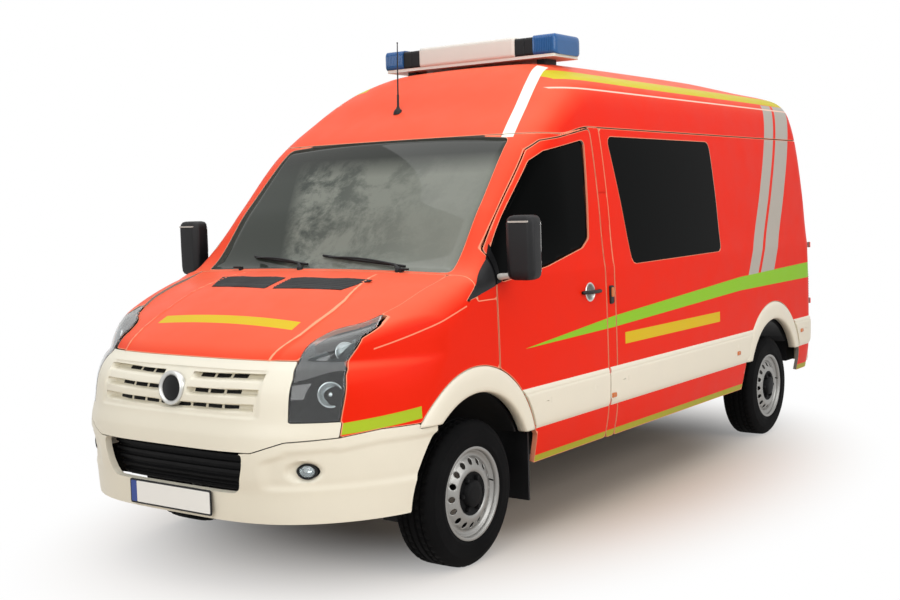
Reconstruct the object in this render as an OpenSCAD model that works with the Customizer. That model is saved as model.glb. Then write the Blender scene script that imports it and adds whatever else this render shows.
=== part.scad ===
// Fire service van, built as an assembly of body panels, glass, running gear and cab fittings.
// Millimetres. Z is up and the ground is Z = 0. The van faces -Y and its left side is +X.
// The outer skin is the meeting of three curved bodies: one bounds the sides, one the top and
// one the nose and tail. Every panel is a layer of that skin, cut out along the real shut lines.

/* [Overall sizes] */
// Length over both bumpers
length = 5570; // [5300:10:6200]
// Distance between the axles
wheelbase = 3665; // [3500:5:4000]
// Front bumper to front axle
front_overhang = 1000; // [950:5:1060]
// Width of the body at its widest
width = 1986; // [1900:2:2060]
// Height of the roof panel above the ground
roof_height = 2450; // [2350:5:2560]

/* [Panels] */
// Thickness of a side wall or a door
wall = 60; // [40:1:70]
// Thickness of the roof with its lining
roof_wall = 45; // [30:1:60]
// Thickness of the bonnet and the wings
thin_wall = 26; // [18:1:34]
// Thickness of a pane of glass
glass_wall = 6; // [4:0.5:8]
// Depth of a pane below the skin around it
glass_step = 5; // [3:0.5:8]
// Shut gap around a door or the bonnet
shut_gap = 9; // [8:0.5:12]
// How far mouldings and arch trims stand out
trim_out = 12; // [8:1:16]
// Depth by which a fitted piece is seated in its neighbour
seat = 0.3; // [0.2:0.05:0.5]

/* [Wheels] */
// Outer radius of a tyre
tyre_radius = 345; // [335:1:352]
// Width of a tyre
tyre_width = 225; // [205:5:235]
// Radius of the rim's bead seat
rim_radius = 205; // [198:1:212]
// Distance from the middle plane to the middle of a tyre
wheel_x = 846; // [830:1:855]
// Radius of a hub spindle
spindle_radius = 30; // [26:0.5:34]
// Radial running clearance of a pin in its bore
run_clear = 0.05; // [0.02:0.01:0.1]
// Distance from the middle plane to a steering axis
kingpin_x = 760; // [745:1:775]

/* [Arches] */
// Radius of a wheel arch opening
arch_radius = 448; // [440:1:455]
// Height of the centre of an arch opening
arch_height = 372; // [360:1:380]
// Outer radius of an arch trim
flare_radius = 512; // [500:1:525]
// Height of the centre of an arch trim's outer edge
flare_height = 430; // [420:1:440]

/* [Light bar] */
// Length of the light bar across the van
bar_length = 1220; // [1100:10:1500]
// Front to back size of the light bar
bar_depth = 300; // [240:10:340]
// Height of the light bar's housing
bar_height = 116; // [90:2:140]
// Height of the light bar's underside above the roof panel
bar_lift = 62; // [50:2:90]
// Length of a blue dome at either end
dome_length = 145; // [120:5:200]

/* [Towing eye] */
// Radius of the hole in the rear towing eye
tow_bore = 20; // [16:0.5:22]
// Distance from the middle plane to the rear towing eye
tow_x = 180; // [120:5:300]

/* [Interior] */
// Height of the load floor
floor_height = 660; // [640:5:680]
// Thickness of the load floor
floor_wall = 40; // [30:1:50]

/* [Hidden] */
fa = front_overhang - length / 2;
ra = fa + wheelbase;
y_nose = -length / 2;
y_tail = length / 2;
kx = width / 1986;
kz = roof_height / 2450;
tail_step = 30;
y_skin = y_tail - tail_step;
far = 1400;
floor_low = floor_height - floor_wall;
sill_low = 392 * kz;
belt_low = 570 * kz;
belt_high = 780 * kz;
bumper_top = 744 * kz;
bumper_low = 355 * kz;
lamp_low = 790 * kz;
fog_x = 699 * kx;
fog_z = 587;
fog_back = 796;
gutter = 2080 * kz;
door_front = 193;
door_rear = 1252;
pillar_rear = 1352;
slide_rear = 2870;
cowl = 30;
pin_r = 5;
door_axis_x = width / 2 + 4;
rear_axis_x = width / 2 - 62;
rear_axis_y = y_skin + 12;
bonnet_axis_z = 1384 * kz;
hinge_z = [866, 1290];
door_hinge_z = [1010, 1190];
bumper_wrap = 205;
firewall = 206;
flap_at = 482;
liner_x = 518;
liner_wall = 12;
house_x = 560;
gearbox_end = 420;
house_top = 868;
floor_half = kx * 991 - wall;
rear_bumper_low = 420 * kz;
rear_bumper_top = 790 * kz;

// height, half width
SIDE = [
    [350, 955], [576, 990], [806, 993], [1330, 982], [1700, 946],
    [2030, 905], [2250, 855], [2360, 800], [2420, 690], [2500, 560],
];
// distance behind the front axle, drop of the half width
NOSE_TAPER = [[-1020, 345], [-905, 194], [-795, 112], [-655, 51], [-455, 14], [-205, 0]];
// distance ahead of the tail, drop of the half width
TAIL_TAPER = [[4, 144], [27, 96], [56, 46], [88, 19], [128, 4], [178, 0]];
// distance behind the front axle, height on the middle plane
TOP = [
    [-1010, 950], [-863, 1039], [-700, 1134], [-510, 1228], [-280, 1318], [-100, 1360],
    [42, 1376], [350, 1704], [660, 2026], [938, 2216], [1133, 2338], [1284, 2410],
    [1400, 2434], [1600, 2446], [2600, 2450], [4300, 2440],
];
// distance behind the front axle, drop of the top towards the sides
CROWN = [[-1010, 40], [-863, 50], [-510, 70], [-100, 40], [42, 16], [660, 44], [1400, 34], [4500, 34]];
// distance ahead of the tail, drop of the top
TAIL_DROP = [[0, 150], [30, 96], [60, 48], [110, 18], [200, 0]];
// height, distance behind the front axle on the middle plane
FRONT = [
    [-150, -920], [280, -955], [380, -968], [480, -976], [560, -994], [650, -1000],
    [720, -995], [790, -976], [911, -952], [1000, -905], [1039, -866], [1100, -862], [2700, -862],
];
// height, lean of the tail towards the front
REAR = [[-150, 0], [1300, 0], [2000, 24], [2330, 60], [2450, 110], [2700, 110]];
// distance behind the front axle, half width of the bonnet
BONNET = [
    [-1010, 600], [-760, 600], [-690, 604], [-600, 636], [-480, 750], [-430, 775], [-300, 815], [60, 826],
];
ACROSS = [-1.25, -1, -0.8, -0.6, -0.4, -0.2, 0, 0.2, 0.4, 0.6, 0.8, 1, 1.25];
ACROSS_END = [-1.28, -1, -0.9, -0.8, -0.7, -0.55, -0.35, -0.1, 0.1, 0.35, 0.55, 0.7, 0.8, 0.9, 1, 1.28];

function half_width(y, z) =
    kx * lookup(z / kz, SIDE) - lookup(y - fa, NOSE_TAPER) - lookup(y_tail - y, TAIL_TAPER);
function top_height(y, x) =
    kz * lookup(y - fa, TOP) - lookup(y_tail - y, TAIL_DROP)
    - lookup(y - fa, CROWN) * pow(abs(x) / 900, 2);
function front_line(z, x) = fa + lookup(z / kz, FRONT) + 400 * pow(abs(x) / 900, 3.9);
function rear_line(z, x) = y_skin - lookup(z / kz, REAR) - 40 * pow(abs(x) / 900, 2);
function keys(table) = [for (row = table) row[0]];
function side_z(inset) = concat([-100 - inset], [for (z = keys(SIDE)) z * kz]);
function end_z() = [-150, 280, 380, 480, 560, 650, 720, 790, 911, 1000, 1039, 1300, 2000, 2330, 2450, 2700];
function tail_rows(table) = [for (i = [len(table) - 1 : -1 : 0]) y_tail - table[i][0]];
function long_y(table, tail, past) = concat([for (s = keys(table)) fa + s], tail_rows(tail), [y_tail + past]);
function sx(list) = [for (p = list) [fa + p[0], p[1] * kz]];

// Closed body through a list of rings with equally many points
module loft(rings) {
    n = len(rings[0]);
    m = len(rings);
    walls = [
        for (j = [0 : m - 2], i = [0 : n - 1])
        each [
            [j * n + i, j * n + (i + 1) % n, (j + 1) * n + i],
            [j * n + (i + 1) % n, (j + 1) * n + (i + 1) % n, (j + 1) * n + i],
        ]
    ];
    first = [for (i = [n - 1 : -1 : 0]) i];
    last = [for (i = [0 : n - 1]) (m - 1) * n + i];
    polyhedron(points = [for (r = rings) each r], faces = concat([first], [last], walls), convexity = 6);
}

// Bounds the sides, drawn inwards by inset
module side_body(inset) {
    zs = side_z(inset);
    top = len(zs) - 1;
    loft([
        for (y = concat([y_nose - 280], long_y(NOSE_TAPER, TAIL_TAPER, 180)))
        concat(
            [for (k = [0 : top]) [half_width(y, zs[k]) - inset, y, zs[k]]],
            [for (k = [top : -1 : 0]) [inset - half_width(y, zs[k]), y, zs[k]]]
        )
    ]);
}

// Bounds the top, drawn downwards by inset
module top_body(inset) {
    half = width / 2;
    loft([
        for (y = concat([y_nose - 310], long_y(TOP, TAIL_DROP, 210)))
        concat(
            [
                for (a = [len(ACROSS) - 1 : -1 : 0])
                [ACROSS[a] * half, y, top_height(y, ACROSS[a] * half) - inset]
            ],
            [[-1.25 * half, y, -120 - inset], [1.25 * half, y, -120 - inset]]
        )
    ]);
}

// Bounds the nose and the tail, drawn inwards by inset
module end_body(inset) {
    half = width / 2;
    loft([
        for (h = end_z())
        let (z = h * kz - (h < 0 ? inset : 0))
        concat(
            [
                for (a = [len(ACROSS_END) - 1 : -1 : 0])
                let (x = ACROSS_END[a] * half)
                [x, front_line(z, x) + inset, z]
            ],
            [for (a = ACROSS_END) [a * half, rear_line(z, a * half) - inset, z]]
        )
    ]);
}

module body(inset) {
    intersection() {
        side_body(inset);
        top_body(inset);
        end_body(inset);
    }
}

// Part of the skin between two depths, kept where the children are
module skin(outer, inner) {
    resize([0, 0, 0])
    intersection() {
        difference() {
            body(outer);
            body(inner);
        }
        union() children();
    }
}

// Prism over an outline in the side view, from x0 to x1
module side_prism(x0, x1) {
    translate([x0, 0, 0])
    rotate([90, 0, 90])
    linear_extrude(x1 - x0)
    children();
}

// Prism over an outline in the front view, from y0 to y1
module front_prism(y0, y1) {
    translate([0, y1, 0])
    rotate([90, 0, 0])
    linear_extrude(y1 - y0)
    children();
}

module box(low, high) {
    translate(low)
    cube(high - low);
}

module rod_x(x0, x1, y, z, r) {
    translate([x0, y, z])
    rotate([0, 90, 0])
    cylinder(h = x1 - x0, r = r, $fn = 48);
}

module rod_y(x, y0, y1, z, r) {
    translate([x, y0, z])
    rotate([-90, 0, 0])
    cylinder(h = y1 - y0, r = r, $fn = 48);
}

module rod_z(x, y, z0, z1, r) {
    translate([x, y, z0])
    cylinder(h = z1 - z0, r = r, $fn = 32);
}

module both_sides() {
    children();
    mirror([1, 0, 0]) children();
}

module rounded(r) {
    offset(r = r, $fn = 24)
    offset(delta = -r)
    children();
}

// Outlines in the side view
module arch_hole(y) {
    translate([y, arch_height])
    circle(arch_radius, $fn = 72);
    translate([y - arch_radius, -200])
    square([2 * arch_radius, arch_height + 200]);
}

module flare_outline(y) {
    translate([y, flare_height])
    circle(flare_radius, $fn = 72);
}

module door_outline(grow) {
    offset(delta = grow)
    difference() {
        polygon(sx([
            [door_front, 392], [door_front, 1470], [655, 1950], [760, 1998], [932, 2020],
            [door_rear, 2074], [door_rear, 392],
        ]));
        flare_outline(fa);
        translate([fa, sill_low - 10])
        square([flare_radius, 170]);
    }
}

module door_window() {
    rounded(28)
    polygon(sx([
        [228, 1312], [680, 1366], [1040, 1440], [1112, 1486], [1172, 1990], [1150, 2008],
        [760, 1944], [640, 1894], [228, 1472],
    ]));
}

module side_window() {
    rounded(45)
    polygon(sx([[1430, 1337], [1430, 2028], [2776, 2038], [2801, 1336]]));
}

module slide_outline(grow) {
    offset(delta = grow)
    polygon(sx([[pillar_rear + 8, 420], [pillar_rear + 8, 2070], [slide_rear, 2070], [slide_rear, 420]]));
}

module lamp_outline() {
    polygon(sx([
        [-1100, 790], [-734, 790], [-714, 867], [-684, 980], [-640, 1050], [-582, 1130], [-474, 1188],
        [-425, 1212], [-425, 1300], [-1100, 1300],
    ]));
}

// Edge between the grille and a lamp in the front view, from below upwards
function lamp_edge(side) = [
    [side * 627 * kx, lamp_low], [side * 619 * kx, 973 * kz], [side * 594 * kx, 1037 * kz],
];

module bonnet_outline(grow) {
    edge = [for (row = BONNET) [kx * row[1] + grow, fa + min(row[0], cowl + grow)]];
    polygon(concat(edge, [for (i = [len(edge) - 1 : -1 : 0]) [-edge[i][0], edge[i][1]]]));
}

module windscreen_outline() {
    rounded(40)
    polygon([
        [-840 * kx, fa + 55], [840 * kx, fa + 55], [748 * kx, fa + 676], [-748 * kx, fa + 676],
    ]);
}

module rear_window_outline() {
    rounded(40)
    polygon([[130, 1340 * kz], [760, 1340 * kz], [690, 1990 * kz], [130, 1990 * kz]]);
}

// Opening for the rear doors in the front view
module rear_opening(grow) {
    edge = [
        for (z = [800, 1330, 1700, 2030, 2080])
        [kx * lookup(z, SIDE) - 74 + grow, min(z * kz, gutter + grow)]
    ];
    polygon(concat([[-1, 0], [edge[0][0], 0]], edge, [[-1, gutter + grow]]));
}

module tail_lamp_outline() {
    polygon([
        [y_tail - 150, 912 * kz], [y_tail - 150, 1060 * kz], [y_tail - 110, 1232 * kz],
        [y_tail + 50, 1232 * kz], [y_tail + 50, 912 * kz],
    ]);
}

// Running gear and floor
module floor_pan() {
    rail_x = 400;
    color("#3a3b3e")
    difference() {
        union() {
            box([-900 * kx, fa + firewall, floor_low], [900 * kx, fa + door_rear + shut_gap, floor_height]);
            box(
                [-floor_half, fa + door_rear + shut_gap / 2, floor_low],
                [floor_half, y_skin - wall - 20, floor_height]
            );
            both_sides() {
                box([rail_x, fa - 860, 470], [rail_x + 70, y_tail - 130, floor_low]);
                box([rail_x, fa + flap_at, sill_low + 20], [880 * kx, ra - 530, floor_low]);
                box([560, ra + 525, sill_low + 60], [880, y_tail - 210, floor_low]);
            }
            box([-560, fa - 862, 470], [560, fa - 800, 590]);
            box([-rail_x - 1, y_tail - 200, 470], [rail_x + 1, y_tail - 130, floor_low]);
            box([-rail_x - 1, ra - 520, 520], [rail_x + 1, ra - 460, floor_low]);
            box([tow_x - 10, y_tail - 190, 335], [tow_x + 10, y_tail - 60, 480]);
        }
        both_sides() {
            rod_x(600, far, ra, arch_height, arch_radius - 16);
            box([600, ra - arch_radius + 16, 0], [far, ra + arch_radius - 16, arch_height]);
            rod_x(liner_x, far, fa, arch_height, arch_radius + liner_wall);
            box([852 * kx, y_tail - bumper_wrap - 2, 0], [far, y_tail, 3000]);
        }
        rod_x(tow_x - 80, tow_x + 80, y_tail - 100, 380, tow_bore);
    }
}

module front_subframe() {
    color("#2c2d30")
    difference() {
        union() {
            box([-470, fa - 190, 250], [470, fa + 190, 330]);
            both_sides() {
                box([400, fa - 60, 329], [470, fa + 60, 470.5]);
                box([440, fa - 40, 164], [kingpin_x + 20, fa + 40, 188]);
                box([440, fa - 40, 180], [470, fa + 40, 260]);
                rod_z(kingpin_x, fa, 170, 232, 16);
            }
        }
        rod_z(0, fa, 200, 400, 70);
    }
}

module rear_axle() {
    color("#2c2d30") {
        rod_x(-705, 705, ra, tyre_radius, 62);
        rod_x(-wheel_x - 70, wheel_x + 70, ra, tyre_radius, spindle_radius);
        rod_y(0, ra - 150, ra + 120, tyre_radius, 138);
        both_sides() {
            box([405, ra - 500, tyre_radius + 55], [465, ra + 520, tyre_radius + 90]);
            box([405, ra - 500, tyre_radius + 80], [465, ra - 465, 470.3]);
            box([405, ra + 485, tyre_radius + 80], [465, ra + 520, 470.3]);
        }
        rod_y(0, fa + gearbox_end, ra - 120, 370, 34);
    }
}

module engine_block() {
    color("#4a4b4d") {
        box([-270, fa - 560, 400], [270, fa + 60, 960]);
        box([-170, fa + 59, 330], [170, fa + gearbox_end, 560]);
        box([-400, fa - 300, 500], [400, fa - 220, 560]);
    }
}

module fuel_tank() {
    color("#222326")
    box([60, fa + 1450, 330], [400, fa + 2150, floor_low]);
}

module exhaust() {
    color("#6c6e70") {
        rod_y(-300, fa + 560, ra - 620, 360, 32);
        rod_y(-300, fa + 1300, fa + 1900, 360, 80);
        box([-310, fa + 1560, 430], [-290, fa + 1600, floor_low]);
    }
}

module knuckle() {
    difference() {
        union() {
            rod_x(wheel_x - 150, wheel_x + 70, fa, tyre_radius, spindle_radius);
            rod_x(kingpin_x - 64, kingpin_x - 30, fa, tyre_radius, 96);
            box([kingpin_x - 60, fa - 38, 196], [kingpin_x - 30, fa + 38, 500]);
            box([kingpin_x - 60, fa - 38, 196], [kingpin_x + 34, fa + 38, 240]);
        }
        rod_z(kingpin_x, fa, 100, 250, 16 + run_clear);
    }
}

module front_left_knuckle() {
    color("#3a3b3e") knuckle();
}

module front_right_knuckle() {
    color("#3a3b3e")
    mirror([1, 0, 0]) knuckle();
}

module tyre(y) {
    half = tyre_width / 2;
    crown_in = 14;
    translate([wheel_x, y, tyre_radius])
    rotate([0, 90, 0])
    rotate_extrude($fn = 72)
    polygon([
        [rim_radius + 1, -half + 22], [rim_radius + 14, -half + 8], [rim_radius + 60, -half],
        [tyre_radius - 52, -half + 4], [tyre_radius - 22, -half + 14], [tyre_radius - 5, -half + 34],
        [tyre_radius, -half + 60], [tyre_radius, half - 60], [tyre_radius - 5, half - 34],
        [tyre_radius - 22, half - crown_in], [tyre_radius - 52, half - 4], [rim_radius + 60, half],
        [rim_radius + 14, half - 8], [rim_radius + 1, half - 22],
    ]);
}

module rim(y) {
    half = tyre_width / 2;
    lip = rim_radius + 14;
    translate([wheel_x, y, tyre_radius])
    rotate([0, 90, 0])
    difference() {
        union() {
            rotate_extrude($fn = 72)
            polygon([
                [rim_radius - 8, -half + 10], [lip, -half + 10], [lip, -half + 14],
                [rim_radius + 1 + seat, -half + 22], [rim_radius + 1 + seat, half - 22],
                [lip, half - 14], [lip, half - 6], [rim_radius - 2, half - 6],
                [rim_radius - 18, half - 26], [rim_radius - 26, half - 40], [rim_radius - 42, half - 30],
                [126, half - 8], [104, half - 6], [90, half - 22], [64, half - 24], [62, half + 6],
                [54, half + 14], [spindle_radius + run_clear, half + 14],
                [spindle_radius + run_clear, half - 100], [58, half - 100], [60, half - 40], [104, half - 32],
                [rim_radius - 40, half - 56], [rim_radius - 16, half - 64], [rim_radius - 8, half - 80],
            ]);
        }
        for (k = [0 : 15])
            rotate([0, 0, k * 22.5])
            translate([143, 0, 0])
            cylinder(h = 300, r = 13, $fn = 24);
    }
}

module front_left_tyre() {
    color("#17181a") tyre(fa);
}

module front_left_rim() {
    color("#b9bbbd") rim(fa);
}

module front_right_tyre() {
    color("#17181a") mirror([1, 0, 0]) tyre(fa);
}

module front_right_rim() {
    color("#b9bbbd") mirror([1, 0, 0]) rim(fa);
}

module rear_left_tyre() {
    color("#17181a") tyre(ra);
}

module rear_left_rim() {
    color("#b9bbbd") rim(ra);
}

module rear_right_tyre() {
    color("#17181a") mirror([1, 0, 0]) tyre(ra);
}

module rear_right_rim() {
    color("#b9bbbd") mirror([1, 0, 0]) rim(ra);
}

// Fixed body panels
module side_region() {
    difference() {
        side_prism(0, far)
        difference() {
            translate([fa + pillar_rear, sill_low])
            square([length, gutter - sill_low]);
            arch_hole(ra);
            flare_outline(ra);
            side_window();
            tail_lamp_outline();
        }
        front_prism(y_skin - 150, y_tail + 200) rear_opening(0);
        box([-1, y_tail - bumper_wrap, 0], [far, y_tail + 200, rear_bumper_top]);
    }
}

module hinge_pins(z_list) {
    for (z = z_list) {
        rod_z(rear_axis_x, rear_axis_y, z * kz - 30, z * kz + 30, pin_r);
        box(
            [rear_axis_x + 2, rear_axis_y - 70, z * kz - 30],
            [rear_axis_x + 16, rear_axis_y + 3, z * kz - 10]
        );
    }
}

module left_side_panel() {
    color("#f0371e") {
        skin(0, wall) side_region();
        hinge_pins(hinge_z);
    }
}

module right_side_panel() {
    color("#f0371e")
    mirror([1, 0, 0]) {
        skin(0, wall)
        difference() {
            side_region();
            side_prism(0, far) slide_outline(0);
        }
        hinge_pins(hinge_z);
    }
}

module sliding_door() {
    color("#f0371e")
    mirror([1, 0, 0])
    skin(0, wall)
    side_prism(0, far)
    difference() {
        slide_outline(0);
        side_window();
    }
}

module roof() {
    color("#f0371e")
    skin(0, roof_wall)
    side_prism(-far, far)
    polygon(sx([
        [480, 2036], [932, 2036], [door_rear, 2080], [6000, 2080], [6000, 2900], [480, 2900],
    ]));
}

module door_pins() {
    for (z = door_hinge_z) {
        rod_z(door_axis_x, fa + door_front, z * kz - 24, z * kz + 24, pin_r);
        box(
            [door_axis_x - 24, fa + door_front - 34, z * kz - 24],
            [door_axis_x + 3, fa + door_front + 1, z * kz - 8]
        );
    }
}

module cab_frame() {
    color("#f0371e") {
        skin(0, wall)
        difference() {
            side_prism(-far, far)
            polygon(sx([
                [cowl, 1240], [cowl, 2036], [932, 2036], [door_rear, 2080], [pillar_rear, 2080],
                [pillar_rear, 392], [door_rear - 30, 392], [door_rear - 30, 700], [door_front, 1240],
            ]));
            both_sides() side_prism(200, far) door_outline(shut_gap / 2);
            translate([0, 0, 1340 * kz])
            linear_extrude(760)
            windscreen_outline();
            both_sides() box([548, fa + cowl - 1, 1300 * kz], [592, fa + cowl + 18, 1500 * kz]);
        }
        difference() {
            union() {
                box([-895 * kx, fa + firewall - 26, floor_low], [895 * kx, fa + firewall, 1180 * kz]);
                box([-895 * kx, fa + 60, 1170 * kz], [895 * kx, fa + firewall, 1200 * kz]);
                box([-860 * kx, fa + 60, 1190 * kz], [860 * kx, fa + 90, 1352 * kz]);
            }
            both_sides() rod_x(liner_x, far, fa, arch_height, arch_radius + liner_wall);
        }
    }
}

module wheel_liners() {
    color("#17181a")
    both_sides()
    difference() {
        rod_x(liner_x, 925 * kx, fa, arch_height, arch_radius + liner_wall);
        rod_x(liner_x + liner_wall, far, fa, arch_height, arch_radius);
        box([0, fa - 600, -200], [far, fa + 600, 566]);
        box([0, fa - 600, -200], [far, fa - 360, 780]);
        box([470, fa + 100, -200], [540, fa + 600, floor_height]);
    }
    color("#3a3b3e")
    both_sides()
    difference() {
        box([house_x, ra - 470, floor_height], [floor_half - seat, ra + 470, house_top]);
        rod_x(600, far, ra, arch_height, arch_radius - 16);
    }
}

module quarter_trims() {
    color("#17181a")
    both_sides()
    skin(-4, seat)
    side_prism(200, far)
    polygon(sx([[-56, 1244], [181, 1300], [181, 1430]]));
}

module wing_region() {
    difference() {
        side_prism(300, far)
        difference() {
            polygon(sx([
                [-1100, 744], [-1100, 1500], [cowl, 1500], [cowl, 1240], [door_front - shut_gap / 2, 1240],
                [door_front - shut_gap / 2, 744],
            ]));
            lamp_outline();
            flare_outline(fa);
        }
        translate([0, 0, 900])
        linear_extrude(900)
        bonnet_outline(shut_gap / 2);
        for (z = door_hinge_z)
            box([door_axis_x - 18, fa + door_front - 18, z * kz - 8], [far, fa + door_front, z * kz + 32]);
    }
}

module front_wings() {
    color("#f0371e")
    both_sides() {
        skin(0, thin_wall)
        difference() {
            wing_region();
            box([0, fa - 1200, 0], [796 * kx, fa - 600, lamp_low]);
            box([0, fa - 1200, 0], [594 * kx, fa - 700, 1200]);
        }
        door_pins();
        box([300, fa - 100, 958], [380, fa + firewall - 26 + seat, 988]);
        box([330, fa - 130, 963], [width / 2 - 12, fa - 90, 983]);
    }
}

module headlamp_region() {
    difference() {
        side_prism(0, far) lamp_outline();
        translate([0, 0, 900])
        linear_extrude(900)
        bonnet_outline(shut_gap / 2);
        front_prism(y_nose - 100, fa)
        polygon(concat([[0, 0], [627 * kx, 0]], lamp_edge(1), [[594 * kx, 1400], [0, 1400]]));
    }
}

module headlamps() {
    color("#55585c")
    both_sides()
    skin(0, 90) headlamp_region();
}

module grille() {
    color("#efe9dc")
    skin(0, 40)
    difference() {
        front_prism(y_nose - 100, fa - 700)
        polygon(concat(
            bumper_edge(1), [[796 * kx, lamp_low]], lamp_edge(1),
            [for (i = [2 : -1 : 0]) lamp_edge(-1)[i]], [[-796 * kx, lamp_low]], bumper_edge(-1)
        ));
        for (z = [832, 894, 956])
            for (side = [-1, 1])
            front_prism(y_nose - 200, fa - 600)
            rounded(6)
            polygon([
                [side * 92 * kx, z * kz], [side * (430 + (z - 832) / 5) * kx, (z + 6) * kz],
                [side * (434 + (z - 832) / 5) * kx, (z + 30) * kz], [side * 92 * kx, (z + 28) * kz],
            ]);
    }
}

// Upper edge of the bumper in the front view, from the middle outwards on the left and inwards on the right
function bumper_edge(side) =
    let (edge = [[484, 664], [622, 711], [796, 722]])
    [for (i = [0 : 2]) let (p = edge[side > 0 ? i : 2 - i]) [side * p[0] * kx, p[1] * kz]];

module intake_outline() {
    rounded(40)
    polygon([
        [-446 * kx, 660], [446 * kx, 660], [432 * kx, 580],
        [330 * kx, 482], [-330 * kx, 482], [-432 * kx, 580],
    ]);
}

module front_bumper() {
    color("#efe9dc")
    difference() {
        skin(0, 62)
        difference() {
            front_prism(y_nose - 100, fa - 360)
            polygon(concat(
                [[-far, bumper_low], [far, bumper_low], [far, bumper_top], [900 * kx, bumper_top]],
                [for (i = [2 : -1 : 0]) bumper_edge(1)[i]], [for (i = [2 : -1 : 0]) bumper_edge(-1)[i]],
                [[-900 * kx, bumper_top], [-far, bumper_top]]
            ));
            side_prism(-far, far) arch_hole(fa);
            side_prism(-far, far)
            intersection() {
                flare_outline(fa);
                translate([fa - 600, bumper_top - 22]) square([600, 300]);
            }
            front_prism(y_nose - 100, fa - 800) intake_outline();
        }
        both_sides() rod_y(fog_x, y_nose - 50, fa - fog_back, fog_z, 46);
    }
}

module lower_intake_grille() {
    color("#1b1c1e")
    skin(44, 58)
    difference() {
        front_prism(y_nose - 100, fa - 800)
        offset(delta = seat) intake_outline();
        for (z = [508, 544, 580, 616])
            box([-300, y_nose - 100, z], [300, fa - 800, z + 16]);
    }
}

module fog_lamps() {
    color("#c9ced2")
    both_sides()
    translate([fog_x, fa - fog_back + seat, fog_z])
    rotate([90, 0, 0])
    rotate_extrude($fn = 48)
    polygon([[0, 0], [46, 0], [46, 30], [38, 34], [36, 26], [20, 34], [0, 36]]);
}

module windscreen() {
    color("#5d6a70")
    skin(glass_step, glass_step + 10)
    translate([0, 0, 1340 * kz])
    linear_extrude(760)
    offset(delta = seat)
    windscreen_outline();
}

module side_glass() {
    color("#22282b")
    both_sides()
    skin(glass_step, glass_step + glass_wall)
    side_prism(200, far)
    offset(delta = seat) side_window();
}

module tail_lamps() {
    color("#b3161b")
    both_sides()
    skin(0, 50)
    difference() {
        side_prism(400, far) tail_lamp_outline();
        front_prism(y_skin - 150, y_tail + 200) rear_opening(0);
    }
}

module rear_bumper() {
    y_in = y_tail - 140;
    color("#efe9dc") {
        translate([0, 0, rear_bumper_low])
        linear_extrude(rear_bumper_top - rear_bumper_low)
        polygon([
            [-930 * kx, y_tail - bumper_wrap], [-962 * kx, y_tail - bumper_wrap], [-935 * kx, y_tail - 60],
            [-870 * kx, y_tail - 12], [-700 * kx, y_tail], [700 * kx, y_tail], [870 * kx, y_tail - 12],
            [935 * kx, y_tail - 60], [962 * kx, y_tail - bumper_wrap], [930 * kx, y_tail - bumper_wrap],
            [860 * kx, y_in + 60], [-860 * kx, y_in + 60],
        ]);
    }
    color("#efe9dc")
    both_sides() box([380, y_tail - 131, 480], [460, y_in + 61, 600]);
}

module belt(x0, s0, s1) {
    side_prism(x0, far)
    translate([fa + s0, belt_low])
    square([s1 - s0, belt_high - belt_low]);
}

module side_mouldings() {
    color("#efe9dc")
    both_sides()
    skin(-trim_out, seat)
    difference() {
        belt(200, door_rear + shut_gap / 2, y_tail - fa - 90);
        side_prism(200, far) flare_outline(ra);
    }
}

module arch_ring(y) {
    side_prism(500, far)
    difference() {
        flare_outline(y);
        arch_hole(y);
    }
}

module wheel_arch_trims() {
    color("#efe9dc")
    both_sides() {
        skin(-trim_out, 40)
        difference() {
            arch_ring(fa);
            box([0, fa - 800, 0], [far, fa, bumper_top - 22]);
            box([0, fa, 0], [far, fa + 900, belt_low]);
        }
        skin(-trim_out, 40)
        difference() {
            arch_ring(ra);
            box([0, ra - 900, 0], [far, ra + 900, belt_low]);
        }
    }
}

module mud_flaps() {
    color("#17181a")
    both_sides()
    box([705 * kx, fa + flap_at - 12, 212], [958 * kx, fa + flap_at + seat, 566]);
}

// Roof fittings
module light_bar() {
    y = fa + 1542;
    z0 = roof_height + bar_lift;
    color("#f4efe2")
    box(
        [-bar_length / 2 + dome_length, y - bar_depth / 2, z0],
        [bar_length / 2 - dome_length, y + bar_depth / 2, z0 + bar_height]
    );
    color("#17181a") {
        box(
            [-bar_length / 2 + 10, y - bar_depth / 2 + 12, z0 - 14],
            [bar_length / 2 - 10, y + bar_depth / 2 - 12, z0 + seat]
        );
        both_sides() box([430, y - 60, top_height(y, 465) - 2], [500, y + 60, z0 - 13]);
    }
}

module light_bar_domes() {
    y = fa + 1542;
    z0 = roof_height + bar_lift;
    r = bar_height / 2;
    color("#2a5fc4")
    both_sides()
    translate([bar_length / 2 - dome_length - seat, 0, z0])
    rotate([90, 0, 90])
    linear_extrude(dome_length + seat)
    polygon([
        [y - bar_depth / 2, 0], [y - bar_depth / 2, bar_height - 26],
        [y - bar_depth / 2 + 22, bar_height - 4], [y - bar_depth / 2 + 60, bar_height],
        [y + bar_depth / 2 - 60, bar_height], [y + bar_depth / 2 - 22, bar_height - 4],
        [y + bar_depth / 2, bar_height - 26], [y + bar_depth / 2, 0],
    ]);
}

module antenna() {
    x = -150;
    y = fa + 930;
    base = top_height(y, x);
    color("#17181a") {
        translate([x, y, base - 14])
        cylinder(h = 34, r1 = 26, r2 = 14, $fn = 32);
        translate([x, y, base + 10])
        cylinder(h = 385, r1 = 5, r2 = 3, $fn = 24);
    }
}

module wiper(x, reach) {
    z = 1376 * kz;
    translate([x, fa + 44, z - 8])
    cylinder(h = 34, r = 16, $fn = 32);
    translate([x, fa + 50, z + 20])
    rotate([0, 0, 180])
    rotate([-5, 0, 0])
    box([0, -10, -6], [reach, 10, 6]);
}

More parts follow.
